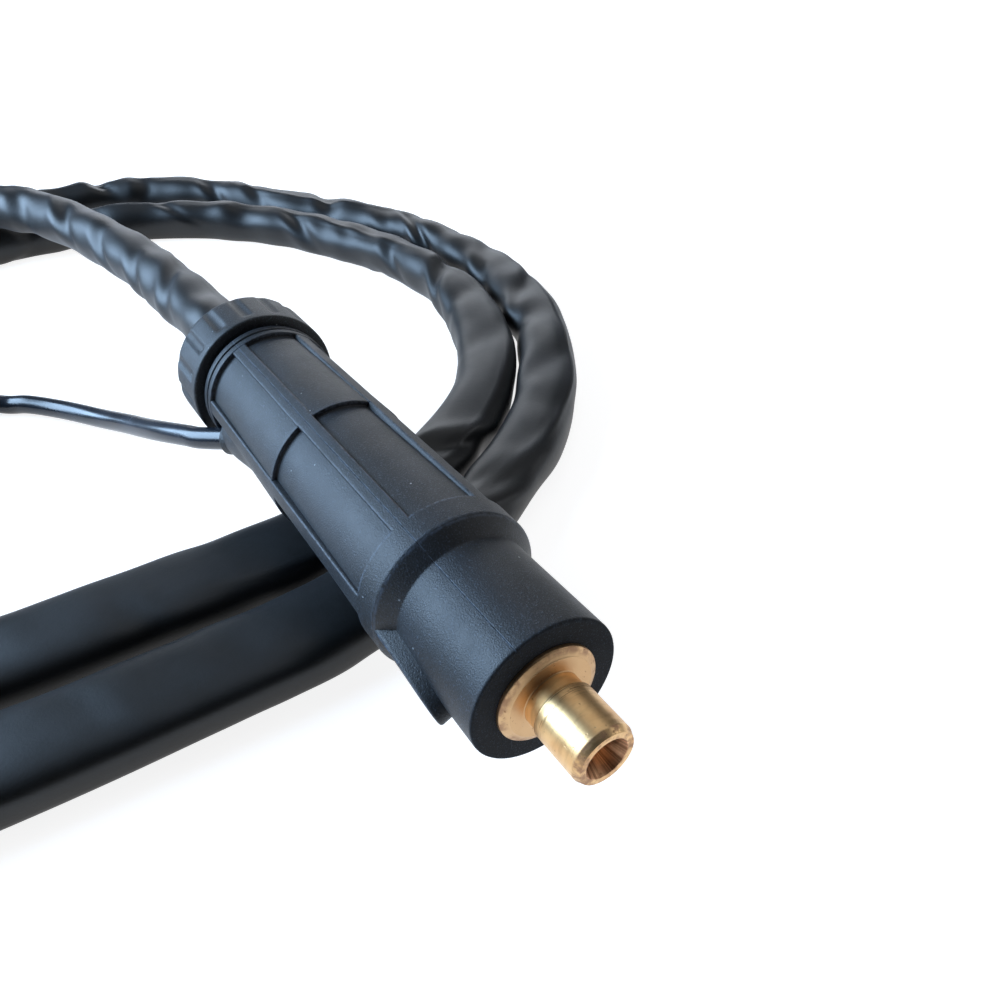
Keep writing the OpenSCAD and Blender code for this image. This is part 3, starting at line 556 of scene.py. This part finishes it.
def hoseRoute(plan):
    # columns: x, y, z, flatness, and the coil's angle, carried on before and after the coil
    a = np.arange(plan["start"], plan["end"] + 1, 5.0)
    xy = coilAt(a)
    flat = coilFlatness(a)
    z = plan["roundHeight"] * (1 - flat) + plan["flatHeight"] * flat
    coil = np.column_stack([xy, z, flat, a])
    first, last = unit(xy[1] - xy[0]), unit(xy[-1] - xy[-2])
    coilIn, coilOut = xy[0] - 17 * first, xy[-1] + 17 * last
    lead = np.array([
        [-156.8, 0, 0], [-176, 0, 0], [-205, -1, -0.5], [-240, -3, -1.5], [-281, -9, -3],
        [-322, -19, -4.5], [-350, -35, -5.5], [-374, -58, -6], [-391, -88, -7.5], [-398, -112, -15],
        [-399, -130, -22], [*(coilIn - 4 * first), plan["roundHeight"]]])
    tail = np.array([
        [*(coilOut + 4 * last), plan["roundHeight"]], [-271, -139, -24.5], [-289, -157, -22],
        [-299, -179, -18], [-302, -198, -15], [-298, -223, -11], [-285, -244, -7.5],
        [-264, -261, -4.5], [-252, -265, -3], torchAt - [4, 0, 0], torchAt + [8, 0, 0]])
    before = np.column_stack([lead, 0 * lead[:, 0], np.linspace(90, plan["start"] - 4, len(lead))])
    after = np.column_stack([tail, 0 * tail[:, 0], np.full(len(tail), plan["end"] + 4)])
    run, route = splineThrough(np.concatenate([before, coil, after]), 1.0)
    middle = eased(route, 9)
    return run, np.concatenate([route[:4], middle[4:-4], route[-4:]])


def ringPlaces(run, route, plan):
    # rings stand close where they are seen, told by the coil's angle, and further apart elsewhere
    seen = (route[:, 4] < 560) | ((route[:, 4] > 620) & (route[:, 4] < 930))
    density = eased(np.where(seen, 1 / plan["seenStep"], 1 / plan["hiddenStep"])[:, None], 41)[:, 0]
    count = np.concatenate([[0], np.cumsum(0.5 * (density[1:] + density[:-1]) * np.diff(run))])
    return np.interp(np.linspace(0, count[-1], int(count[-1])), count, run)


def creaseField(run, near, turn, liveliness, bend, plan):
    # each crease is a valley along a slanting, bowed line over part of the way round, with a
    # low rim on one side; they slant to alternate sides in turn, and on the bends they are
    # longer and wider and all slant the same way
    rng = np.random.default_rng(plan["seed"])
    depth = np.zeros((len(run), len(turn)))
    places = np.arange(14, run[-1] - 14, plan["creaseEvery"])
    for k, place in enumerate(places + rng.normal(0, 3.5, len(places))):
        bent = np.interp(place, run, bend)
        middle = np.interp(np.interp(place, run, near), [20, 75], [0.5, -0.8]) + (k % 2) * np.pi
        middle = middle + rng.normal(0, 0.4)
        reach = rng.uniform(1.2, 2.0) + 0.4 * bent
        slant = rng.normal(0, 3) + 7 * (-1) ** k * (1 - bent) + rng.uniform(0, 14) * bent
        bow = rng.uniform(-4, 5)
        wide = rng.uniform(3.2, 5.6) + rng.uniform(1.0, 3.5) * bent
        size = rng.uniform(0.35 - 0.35 * bent, 1.0) * np.interp(place, run, liveliness)
        close = np.abs(run - place) < 40
        away = (turn[None] - middle + np.pi) % (2 * np.pi) - np.pi
        d = (run[close, None] - place - slant * away - bow * away ** 2) / wide
        rim = plan["rimHeight"] * np.exp(-((d - 1.7) / 0.9) ** 2)
        fold = rim - plan["creaseDepth"] * np.exp(-d ** 2)
        depth[close] += size * bell(away / reach) * fold
    return depth


def hoseSkin(run, route, plan):
    # each ring is a flattened circle across the run, pressed level where it lies on the floor;
    # creases, a lengthwise seam, slow swells and short waves move its points in and out
    s = ringPlaces(run, route, plan)
    line = np.stack([np.interp(s, run, route[:, k]) for k in range(5)], -1)
    at, flat, angle = line[:, :3], line[:, 3:4], line[:, 4]
    side, up = sideAndUp(unit(np.gradient(at, s, axis=0)))
    t = np.linspace(0, 2 * np.pi, plan["sides"], endpoint=False)[None]
    low = smooth((at[:, 2:3] + 12) / -10)            # 0 up at the nut, 1 on the floor
    halfWidth = plan["radius"] * (1 - flat) + plan["flatHalfWidth"] * flat
    top = (plan["radius"] * (1 - low) + plan["restTop"] * low) * (1 - flat) + plan["flatTop"] * flat
    top = top + (1.6 * bell((angle - 682) / 32))[:, None]        # one higher stretch
    foot = plan["radius"] * (1 - flat) + plan["flatFoot"] * flat
    power = 2 / (2.1 + 1.1 * flat)
    across = np.sign(np.sin(t)) * np.abs(np.sin(t)) ** power * halfWidth
    rise = np.where(np.cos(t) > 0, top, foot) * np.sign(np.cos(t)) * np.abs(np.cos(t)) ** power
    near = (angle + 180) % 360 - 180
    onCoil = 0.05 + 0.95 * smooth((near + 12) / 30) + 0.5 * smooth((near + 95) / -45)
    lively = np.where(angle < 190, 1.0, onCoil) * smooth((s - 6) / 30) * smooth((s[-1] - 12 - s) / 30)
    turn = t[0]
    bend = smooth((near + 8) / 24) * smooth((100 - near) / 50) * ((angle > 190) & (angle < 900))
    folds = creaseField(s, near, turn, lively, bend, plan)
    seamAt = 0.35 + 0.5 * np.sin(s / 61) + 0.3 * np.sin(s / 23 + 1)
    offset = (turn[None] - seamAt[:, None] + np.pi) % (2 * np.pi) - np.pi
    seam = plan["seamHeight"] * np.exp(-(offset / 0.13) ** 2) * lively[:, None]
    swell = plan["swellHeight"] * np.sin(s / 19 + 1.3)[:, None] * np.cos(turn * 2 + 0.7)
    swell = swell + plan["rippleHeight"] * np.sin(s / 8.3)[:, None] * np.cos(turn * 3)
    waves = plan["waveHeight"] * lively * (1 - 0.8 * bend) * np.sin(s / 3.9 + 2 * np.sin(s / 41))
    swell = swell * np.maximum(lively, 0.3)[:, None] + waves[:, None] * (0.5 + 0.5 * np.cos(turn + 0.6))
    move = np.clip(folds + seam + swell, *plan["mostMove"])
    length = np.sqrt(across ** 2 + rise ** 2)
    grow = 1 + np.minimum(move, plan["mostOut"] - length) / length
    points = (at[:, None] + side[:, None] * (across * grow)[..., None]
              + up[:, None] * (rise * grow)[..., None])
    points[..., 2] = np.maximum(points[..., 2], plan["floor"] + 0.05)
    # the crests, which the sleeve's finish paints paler, as wear and painted highlight together
    ridge = np.clip((folds + seam - 0.25) / 0.8, 0, 1)
    return at, points, ridge


run, route = hoseRoute(hosePlan)
hoseMiddle, hosePoints, hoseRidge = hoseSkin(run, route, hosePlan)
rings, sides = hosePoints.shape[:2]
hose = meshPiece("sleevedHose", hosePoints.reshape(-1, 3), tubeFaces(rings, sides), finishes["sleeve"],
                 replaces=("hose_lead", "hose_coil", "hose_tail"), marks={"ridge": hoseRidge.ravel()},
                 sharp=75)
(hoseMiddle * mm).tolist()
print("hose", rings, "rings,", round(float(run[-1])), "mm")


# The control lead

leadPlan = {"radius": 3.0, "surface": (-132.3, -16.9, 0.0), "angle": 35, "turn": 24, "sides": 24,
            "plug": (-230, -172, -23), "relief": 16}


def leadRolled(point):
    c, s = np.cos(np.radians(leadPlan["turn"])), np.sin(np.radians(leadPlan["turn"]))
    return np.array([point[0], point[1] * c - point[2] * s, point[1] * s + point[2] * c])


leadWay = np.array([-np.cos(np.radians(leadPlan["angle"])), -np.sin(np.radians(leadPlan["angle"])), 0])
leadStart = np.array(leadPlan["surface"])
plugAt = np.array(leadPlan["plug"])
leadPoints = np.array([
    leadRolled(leadStart), leadRolled(leadStart + 10.5 * leadWay),
    [-146.4, -23.3, -10.7], [-159, -27.6, -14.6], [-178, -32.4, -20.8], [-196, -38.5, -25.8],
    [-211, -46.5, -27.8], [-221, -54.8, -28.3], [-227, -62, -28.8], [-233, -77, -23], [-236, -92, -13],
    [-236, -110, -13], [-235, -130, -13], [-232, -144, -18],
    plugAt + [0, leadPlan["relief"] + 4, 0], plugAt + [0, leadPlan["relief"], 0]])


def plainTube(name, points, radius, sides, finish, step, **more):
    # a circle carried along the smooth line through the points, with the least of ripples
    run, route = splineThrough(points, step)
    side, up = sideAndUp(unit(np.gradient(route, run, axis=0)))
    t = np.linspace(0, 2 * np.pi, sides, endpoint=False)[None]
    r = radius + 0.05 * np.sin(run / 5.1)[:, None] * np.cos(t + run[:, None] / 17)
    rings = (route[:, None] + side[:, None] * (r * np.cos(t))[..., None]
             + up[:, None] * (r * np.sin(t))[..., None])
    return run, route, meshPiece(name, rings.reshape(-1, 3), tubeFaces(len(run), sides), finish, **more)


leadRun, leadRoute, controlLead = plainTube(
    "controlLead", leadPoints, leadPlan["radius"], leadPlan["sides"], finishes["lead"], 1.0,
    replaces=("control_lead",))
print("control lead", round(float(leadRun[-1])), "mm")


# The plug's housing: two half shells round the X axis

housingPlan = {
    "roll": 25, "ribEvery": 60, "ribHalfAngle": 6.3, "ribWall": 1.7, "seamGap": 0.01, "seamRound": 0.09,
    "bossAngle": 89, "bossFoot": -110.0, "bossEnd": -133.2, "bossHeight": 2.8, "bossHalfWidth": 6.2,
    "threadPitch": 3.0, "threadDepth": 0.22,
}
housingOutline = [
    (-10.8, 8.05, 0.3), (-10.8, 16.2, 0.6), (-38.2, 15.8, 0.3), (-42.2, 19.1, 0.45), (-48.7, 19.1, 0.1),
    (-48.75, 18.4, 0.12), (-94.15, 16.9, 0.35), (-94.25, 18.1, 0.35), (-136.25, 16.6, 0.3),
    (-136.35, 17.8, 0.4), (-138.3, 17.8, 0.2), (-138.45, 17.35, 0.15), (-138.95, 17.35, 0.15),
    (-139.1, 17.8, 0.2), (-141.1, 17.8, 0.5), (-141.1, 16.0, 0), (-153.8, 16.0, 0.5), (-153.8, 13.4, 0.3),
    (-26.8, 13.4, 0), (-26.8, 11.05, 0), (-18.75, 11.05, 0), (-18.75, 8.05, 0),
]


def housingStep(x):
    # short steps over the thread and at the end of the hump, longer ones along the panels
    if x < -141 or -134 < x < -130:
        return 0.3
    return 0.9 if x < -49 else 0.5


def ribTop(x):
    return np.interp(-x, [42.2, 48.7, 94.2, 136.3, 141.1], [19.1, 19.1, 18.4, 17.7, 17.7])


def angleToRib(angle, plan):
    # degrees from the middle of the nearest rib
    every = plan["ribEvery"]
    return np.abs((angle + every / 2) % every - every / 2)


def housingRadius(x, r, angle, onOutside, plan):
    # the turned outline, raised to the ribs' tops inside each rib's angle, with a long low hump
    # in front of the control lead and a thread at the rear; each rib's shoulder is a quarter of
    # an ellipse
    inward = np.clip((plan["ribHalfAngle"] - angleToRib(angle, plan)) / plan["ribWall"] + 0.5, 0, 1)
    onRib = np.sqrt(inward * (2 - inward))
    inRibs = onOutside & (x < -42.3) & (x > -136.3)
    out = np.where(inRibs, r + np.maximum(ribTop(x) - r, 0) * onRib, r)
    toBoss = r * np.radians(angle + plan["bossAngle"]) / plan["bossHalfWidth"]
    alongBoss = smooth((plan["bossFoot"] - x) / 21) * smooth((x - plan["bossEnd"]) / 1.8)
    boss = r - 0.5 + plan["bossHeight"] * alongBoss * (1 - np.minimum(toBoss ** 2, 4))
    out = np.where(onOutside & (x > plan["bossEnd"]), higherOf(out, boss, 0.5), out)
    thread = plan["threadDepth"] * np.sin(2 * np.pi * (x / plan["threadPitch"] - angle / 360))
    onThread = smooth((-142 - x) / 1.0) * smooth((x + 153) / 1.0)
    return out + np.where(onOutside, thread * onThread, 0)


def housingHalf(name, side, plan):
    line = spaced(roundedLine(housingOutline), housingStep)
    shoulder = plan["ribHalfAngle"] + plan["ribWall"] * (np.cos(np.linspace(0, np.pi / 2, 9)) - 0.5)
    even = np.arange(0, 181, 1.5)
    clear = np.abs(angleToRib(even, plan) - plan["ribHalfAngle"]) > plan["ribWall"] / 2 + 0.1
    turn = [even[clear], [0.15, 0.4, 0.7], [179.3, 179.6, 179.85]]
    turn += [rib + sign * shoulder for rib in range(0, 181, plan["ribEvery"]) for sign in (-1, 1)]
    turn = np.unique(np.clip(np.concatenate(turn), 0, 180).round(3))
    angle = side * turn[None]
    x = line[:, :1] + 0 * angle
    # the outline runs back over the outside to the thread's end, then forward inside the bores
    lastOut = int(np.argmin(np.abs(line[:, 0] + 153.8) + np.abs(line[:, 1] - 15)))
    onOutside = (np.arange(len(line)) < lastOut)[:, None] & (line[:, 1:] > 15.2)
    r = housingRadius(x, line[:, 1:] + 0 * angle, angle, onOutside, plan)
    arc = r * np.radians(np.minimum(turn, 180 - turn))[None]
    dip = plan["seamRound"] * (1 - np.sqrt(np.clip(1 - (1 - arc / plan["seamRound"]) ** 2, 0, 1)))
    r = r - np.where((arc < plan["seamRound"]) & onOutside, dip, 0)
    start = np.degrees(np.arcsin(plan["seamGap"] / r))
    turned = side * (start + turn[None] * (180 - 2 * start) / 180)
    row = np.radians(turned - plan["roll"])
    points = np.stack([x, r * np.sin(row), r * np.cos(row)], -1)
    # rubbed places and painted highlight lines: the outline's corners, the collar's rear edge, the ribs'
    # shoulders and the seam take a pale colour that stands for both wear and light caught on their edges
    along = (np.roll(r, 1, 0) + np.roll(r, -1, 0)) / 2
    toRib = angleToRib(angle, plan)
    ribEdge = bell((toRib - plan["ribHalfAngle"] + 0.35) / 0.9) * ((x < -49) & (x > -136)) * 0.8
    corner = np.clip(np.maximum(r - along, 0) * 14, 0, 1) * np.where(x > -12, 0.2, 1)
    collarEdge = bell((x + 48.62) / 0.4) * (toRib > plan["ribHalfAngle"])
    wearAndEdgeHighlight = np.maximum.reduce([corner, collarEdge, ribEdge, arc < 0.14]) * onOutside
    rows, columns = r.shape
    ends = [[i * columns + k for i in range(rows - 1)] for k in (0, columns - 1)]
    piece = meshPiece(name, points.reshape(-1, 3), gridFaces(rows, columns, False) + ends,
                      finishes["housing"], replaces=("housing_left" if side > 0 else "housing_right",),
                      marks={"wearAndEdgeHighlight": wearAndEdgeHighlight.ravel()}, sharp=48)
    return piece


padPlan = {"angle": -90, "halfWidth": 8.1, "root": -45.45, "tip": -20.6, "foot": 15.2, "top": 18.8,
           "edge": 0.5, "rim": 1.15, "dip": 0.75}


def keyPad(plan):
    # a tongue outlined by half an ellipse: rings of it climb the wall, round over the edge, dip
    # inside the rim and close in on the middle line
    u = np.linspace(-np.pi / 2, np.pi / 2, 121)[None]
    lift = np.linspace(0, np.pi / 2, 8)
    inset = np.concatenate([
        [0, 0, 0], plan["edge"] * (1 - np.cos(lift)), plan["rim"] + np.linspace(0, 0.5, 4),
        np.linspace(plan["rim"] + 1, plan["halfWidth"], 8)])[:, None]
    radius = np.concatenate([
        plan["foot"] + np.array([0, 0.8, 1.6]), plan["top"] - plan["edge"] * (1 - np.sin(lift)),
        plan["top"] - plan["dip"] * smooth(np.linspace(0, 1, 4)),
        np.full(8, plan["top"] - plan["dip"])])[:, None]
    x = plan["root"] + (plan["tip"] - plan["root"] - inset) * np.cos(u)
    across = (plan["halfWidth"] - inset) * np.sin(u)
    out = np.sqrt(radius ** 2 - across ** 2)
    way = np.radians(plan["angle"] - housingPlan["roll"])
    points = np.stack([x, out * np.sin(way) + across * np.cos(way),
                       out * np.cos(way) - across * np.sin(way)], -1)
    rows, columns = x.shape
    first, last = [i * columns for i in range(rows)], [i * columns + columns - 1 for i in range(rows)]
    ends = [first + last[::-1], list(range(columns))]
    # the rim's pale colour is partly rubbing and partly a painted highlight along the edge
    wearAndEdgeHighlight = bell((np.arange(rows) - 8.5) / 3)[:, None] + 0 * x      # the edge is rubbed
    return meshPiece("keyPad", points.reshape(-1, 3), gridFaces(rows, columns, False) + ends,
                     finishes["housing"], marks={"wearAndEdgeHighlight": wearAndEdgeHighlight.ravel()}, sharp=48)


keyPad(padPlan)
housingHalf("housingLeft", 1, housingPlan)
housingHalf("housingRight", -1, housingPlan)

bossLine = roundedLine([(-6, 3.05, 0), (-6, 4.2, 0), (0.2, 4.2, 0.5), (0.2, 3.05, 0.3)])
boss = turnedPiece("leadBoss", bossLine, finishes["housing"], leadRolled(leadStart), leadRolled(leadWay),
                   columns=48)
print("housing")


# The collar nut

nutPlan = {"radius": 19.9, "flutes": 16, "cutter": 2.6, "depth": 0.62, "plainFrom": -146.0}
nutOutline = [(-142.5, 16.3, 0.3), (-142.5, 19.9, 0.8), (-158.8, 19.9, 3.4), (-158.8, 9.4, 0.8),
              (-156.8, 9.4, 0.4), (-156.8, 16.3, 0)]


def nutRadius(x, r, angle):
    # flutes are arcs of a cutter's circle, eased into the wall, that fade out before the rim
    centre = nutPlan["radius"] + nutPlan["cutter"] - nutPlan["depth"]
    step = 2 * np.pi / nutPlan["flutes"]
    toFlute = (angle + np.radians(housingPlan["roll"]) + step / 2) % step - step / 2
    reach = centre * np.sin(toFlute)
    cut = centre * np.cos(toFlute) - np.sqrt(np.maximum(nutPlan["cutter"] ** 2 - reach ** 2, 0))
    cut = np.where(np.abs(reach) < nutPlan["cutter"], cut, 99)
    amount = smooth((nutPlan["plainFrom"] + 1.4 - x) / 1.8)
    fluted = lowerOf(r, np.minimum(cut, r + 2), 0.25)
    return np.where(r > 17.2, r * (1 - amount) + fluted * amount, r)


nutLine = spaced(roundedLine(nutOutline, steps=8), 0.5)
nut = turnedPiece("collarNut", nutLine, finishes["housing"], columns=nutPlan["flutes"] * 20,
                  reshape=nutRadius, body="nut", replaces=("collar_nut",))


# The brass plug body

plugOutline = [
    (7.0, 4.5, 0.1), (7.0, 5.85, 0.1), (5.6, 6.5, 0.14), (-5.6, 6.5, 0.3), (-5.6, 6.0, 0.2),
    (-9.0, 6.0, 0.2), (-9.0, 9.15, 0.06), (-9.12, 9.3, 0.05), (-9.9, 10.9, 0.25), (-10.8, 10.9, 0.1),
    (-10.8, 8.0, 0), (-18.8, 8.0, 0), (-18.8, 11.0, 0.3), (-24.8, 11.0, 0.3), (-24.8, 8.0, 0),
    (-60.8, 8.0, 0.4), (-60.8, 5.4, 0.3), (-38.8, 5.4, 0), (-38.8, 3.0, 0), (3.0, 3.0, 0.3),
]
plugLine = spaced(roundedLine(plugOutline), 1.2)
plugColumns = 144
bore = np.repeat((plugLine[:, 1] < 4.6) * 1.0, plugColumns)
plugBody = turnedPiece("brassPlug", plugLine, finishes["brass"], columns=plugColumns,
                       replaces=("plug_body",), marks={"bore": bore}, sharp=50)
print("nut and plug")


# The control plug

plugWay = (0, -1, 0)
ringPlan = {"grooves": 12, "depth": 0.3, "spread": 0.018}
beadPlan = {"places": (7, 12), "height": 0.16, "halfWidth": 1.2}
reliefPlan = {"from": -15, "to": -2, "every": 2.6, "depth": 0.45}


def ringKnurl(x, r, angle):
    # shallow grooves along the ring
    toGroove = (angle * ringPlan["grooves"] / (2 * np.pi) + 0.5) % 1 - 0.5
    return np.where(r > 8.4, r - ringPlan["depth"] * np.exp(-toGroove ** 2 / ringPlan["spread"]), r)


def shellBeads(x, r, angle):
    # low beads round the shell
    beads = sum(bell((x - place) / beadPlan["halfWidth"]) for place in beadPlan["places"])
    return r + np.where(r > 7.3, beadPlan["height"] * beads, 0)


def reliefRings(x, r, angle):
    # the strain relief's ribs, with a rounded groove between each two
    groove = smooth(np.cos(2 * np.pi * x / reliefPlan["every"]) * 2 - 0.6)
    return r - reliefPlan["depth"] * groove * (x < reliefPlan["to"]) * (x > reliefPlan["from"])


controlPieces = [
    turnedPiece("controlPlugShell", spaced(roundedLine([
        (0, 6.4, 0), (0, 7.6, 0.5), (33, 7.6, 0.5), (33, 6.4, 0.3)]), 0.6),
        finishes["steel"], plugAt, plugWay, reshape=shellBeads, replaces=("control_plug_shell",)),
    turnedPiece("controlPlugRing", spaced(roundedLine([
        (17.5, 7.9, 0), (17.5, 9.0, 0.5), (31.5, 9.0, 0.5), (31.5, 7.9, 0)]), 0.8),
        finishes["steel"], plugAt, plugWay, ringPlan["grooves"] * 12, ringKnurl, body="control_ring",
        replaces=("control_plug_ring",)),
    turnedPiece("controlPlugRelief", spaced(roundedLine([
        (-16, 0, 0), (-16, 3.7, 0.6), (0, 6.0, 0.3), (0, 6.35, 0), (5, 6.35, 0), (5, 0, 0)], False),
        0.3), finishes["rubber"], plugAt, plugWay, 64, reliefRings,
        replaces=("control_plug_relief",)),
]
print("control plug")


# The hand torch: along +X from the boot

bootPlan = {"from": 2, "to": 25, "every": 4, "depth": 0.9, "taper": 0.02}


def bootRings(x, r, angle):
    # the boot's ribs, cut a little deeper towards its thin end
    groove = smooth(np.cos(2 * np.pi * x / bootPlan["every"]) * 2 - 0.5)
    within = (r > 9.9) * (x > bootPlan["from"]) * (x < bootPlan["to"])
    return r - (bootPlan["depth"] - bootPlan["taper"] * x) * groove * within


bootLine = spaced(roundedLine([
    (0, 8.9, 0.3), (0, 10.0, 0.4), (1, 10.6, 0.3), (27, 11.6, 0.3), (29.7, 11.6, 0.3), (29.7, 9.35, 0),
    (37, 9.35, 0), (37, 8.9, 0)]), 0.4)
boot = turnedPiece("cableBoot", bootLine, finishes["rubber"], torchAt, columns=72, reshape=bootRings,
                   replaces=("cable_boot",))


def handlePiece(name, edge):
    # a merged copy of the node's mesh with its edges broken, in place of the node
    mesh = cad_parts[name].data.copy()
    mesh.materials.clear()
    piece = cleanPiece(name + "Dressed", mesh, finishes["handle"], 34, 2e-6, 0.6)
    bevel = piece.modifiers.new("edges", "BEVEL")
    bevel.width = edge * mm
    bevel.segments = 3
    bevel.limit_method = "ANGLE"
    bevel.angle_limit = np.radians(34)
    bevel.use_clamp_overlap = True
    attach(piece, "torch_and_lead")
    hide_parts(name)


handlePiece("handle_upper", 0.35)
handlePiece("handle_lower", 0.35)
handlePiece("neck_jacket", 0.3)


def stadium(turn, length, width):
    # a point at each turn of a straight-sided oval: the ends are half circles
    x, y = np.cos(turn), np.sin(turn)
    return np.stack([x * width / 2 + np.sign(x) * (length - width) / 2, y * width / 2], -1)


triggerPlan = {"at": 144, "length": 30, "width": 11, "foot": 9.44, "top": 17.8, "edge": 1.6, "dish": 0.9,
               "lineEvery": 2.4, "lineHeight": 0.22, "sides": 96}


def triggerPiece(plan):
    # rings of a straight-sided oval climb the side, round over the edge and close in on a top
    # that is dished along its middle and has a few low grip lines across it
    sides, half = plan["sides"], plan["width"] / 2
    oval = stadium(np.linspace(0, 2 * np.pi, sides, endpoint=False), plan["length"], plan["width"])
    edge = np.linspace(0, np.pi / 2, 7)
    height = np.concatenate([[plan["foot"]], plan["top"] - plan["edge"] + plan["edge"] * np.sin(edge),
                             np.full(16, plan["top"])])
    inset = np.concatenate([[0], plan["edge"] * (1 - np.cos(edge)),
                            np.linspace(plan["edge"], half, 17)[1:]])
    scale = 1 - inset[:, None] / half
    straight = (plan["length"] - plan["width"]) / 2
    spine = np.clip(oval[:, 0], -straight, straight)
    x = spine + (oval[:, 0] - spine) * scale
    z = oval[:, 1] * scale
    y = height[:, None] + 0 * x
    dish = plan["dish"] * (1 - (z / half) ** 2) * bell(x / (plan["length"] * 0.55))
    lines = plan["lineHeight"] * np.cos(2 * np.pi * x / plan["lineEvery"]) * bell(x / 7)
    y = y + np.where(y > plan["top"] - 0.05, lines - dish, 0)
    points = np.stack([x, y, z], -1) + torchAt + [plan["at"], 0, 0]
    faces = gridFaces(len(height), sides, True) + [list(range(sides))]
    last = (len(height) - 1) * sides
    faces += [[last + i, last + i + 1, last + sides - i - 2, last + sides - i - 1]
              for i in range(sides // 2 - 1)]
    return meshPiece("triggerButton", points.reshape(-1, 3), faces, finishes["trigger"], body="trigger",
                     replaces=("trigger_button",), sharp=60)


trigger = triggerPiece(triggerPlan)


gripPlan = {"count": 11, "start": 56, "every": 3.4, "width": 2.2, "foot": 11.6, "top": 13.35}


def gripRing(x, plan):
    return roundedLine([(x, plan["foot"], 0), (x, plan["top"], 0.7),
                        (x + plan["width"], plan["top"], 0.7), (x + plan["width"], plan["foot"], 0)])


for k in range(gripPlan["count"]):
    ring = gripRing(gripPlan["start"] + gripPlan["every"] * k, gripPlan)
    turnedPiece(f"gripRing{k:02d}", ring, finishes["rubber"], torchAt, columns=72)


capPlan = {"from": -26.3, "to": -18.5, "flutes": 18, "depth": 0.45}


def capFlutes(x, r, angle):
    # grip flutes on the cap's knob
    amount = smooth(capPlan["to"] - x) * smooth(x - capPlan["from"]) * (r > 7)
    return r - capPlan["depth"] * amount * (0.5 - 0.5 * np.cos(angle * capPlan["flutes"])) ** 3


headPieces = [
    ("headJacket", "head_jacket", "handle", "torch_and_lead", [
        (-15, 7.65, 0), (-15, 10.5, 1.4), (15, 10.5, 1.4), (15, 7.65, 0)], None),
    ("cupGasket", "cup_gasket", "gasket", "torch_and_lead", [
        (15.05, 5.25, 0.2), (15.05, 10.0, 0.5), (17.05, 10.0, 0.5), (17.05, 5.25, 0.2)], None),
    ("gasCup", "gas_cup", "ceramic", "cup", [
        (17.1, 5.5, 0.3), (17.1, 9.6, 0.7), (29.1, 9.6, 2.5), (43.1, 7.0, 4.0), (59.1, 7.0, 0.7),
        (59.1, 4.8, 0.7), (37.1, 4.8, 3.0), (27.1, 5.5, 1.0)], None),
    ("backCap", "back_cap", "phenolic", "cap", [
        (-64.7, 0, 0), (-64.7, 1.5, 0), (-13, 1.5, 0), (-13, 2.5, 0), (-6, 2.5, 0), (-6, 5.1, 0.3),
        (-16.7, 5.1, 0), (-16.7, 8.2, 0.6), (-24.7, 8.2, 1.5), (-30.7, 6.2, 2.5),
        (-65.7, 5.0, 1.5), (-68.7, 3.0, 1.2), (-68.7, 0, 0)], capFlutes),
]
for name, node, finish, body, outline, reshape in headPieces:
    closed = outline[0][1] > 0          # a line that starts on the axis also ends there
    line = spaced(roundedLine(outline, closed, 6), 0.6)
    piece = turnedPiece(name, line, finishes[finish], headAt, headWay, 108, reshape, body=body,
                        replaces=(node,))
print("torch")


# Finishes of the nodes that stay as they are

nodeFinish = {
    "clamp_screws": "steel", "power_cable": "copper", "crimp_ferrule": "steel", "clamp_ring": "rubber",
    "lead_grommet": "rubber", "lead_inner": "lead", "control_plug_insert": "insert",
    "control_plug_contacts": "brass", "handle_screws": "steel", "microswitch": "insert",
    "switch_lead": "trigger", "gas_and_power_tube": "copper", "neck_tube": "copper",
    "head_body": "copper", "collet": "copper", "collet_body": "brass", "cap_o_ring": "rubber",
    "electrode": "tungsten",
}
for name, finish in nodeFinish.items():
    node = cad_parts[name]
    node.data.materials.clear()
    node.data.materials.append(finishes[finish])
print("nodes dressed", len(nodeFinish))
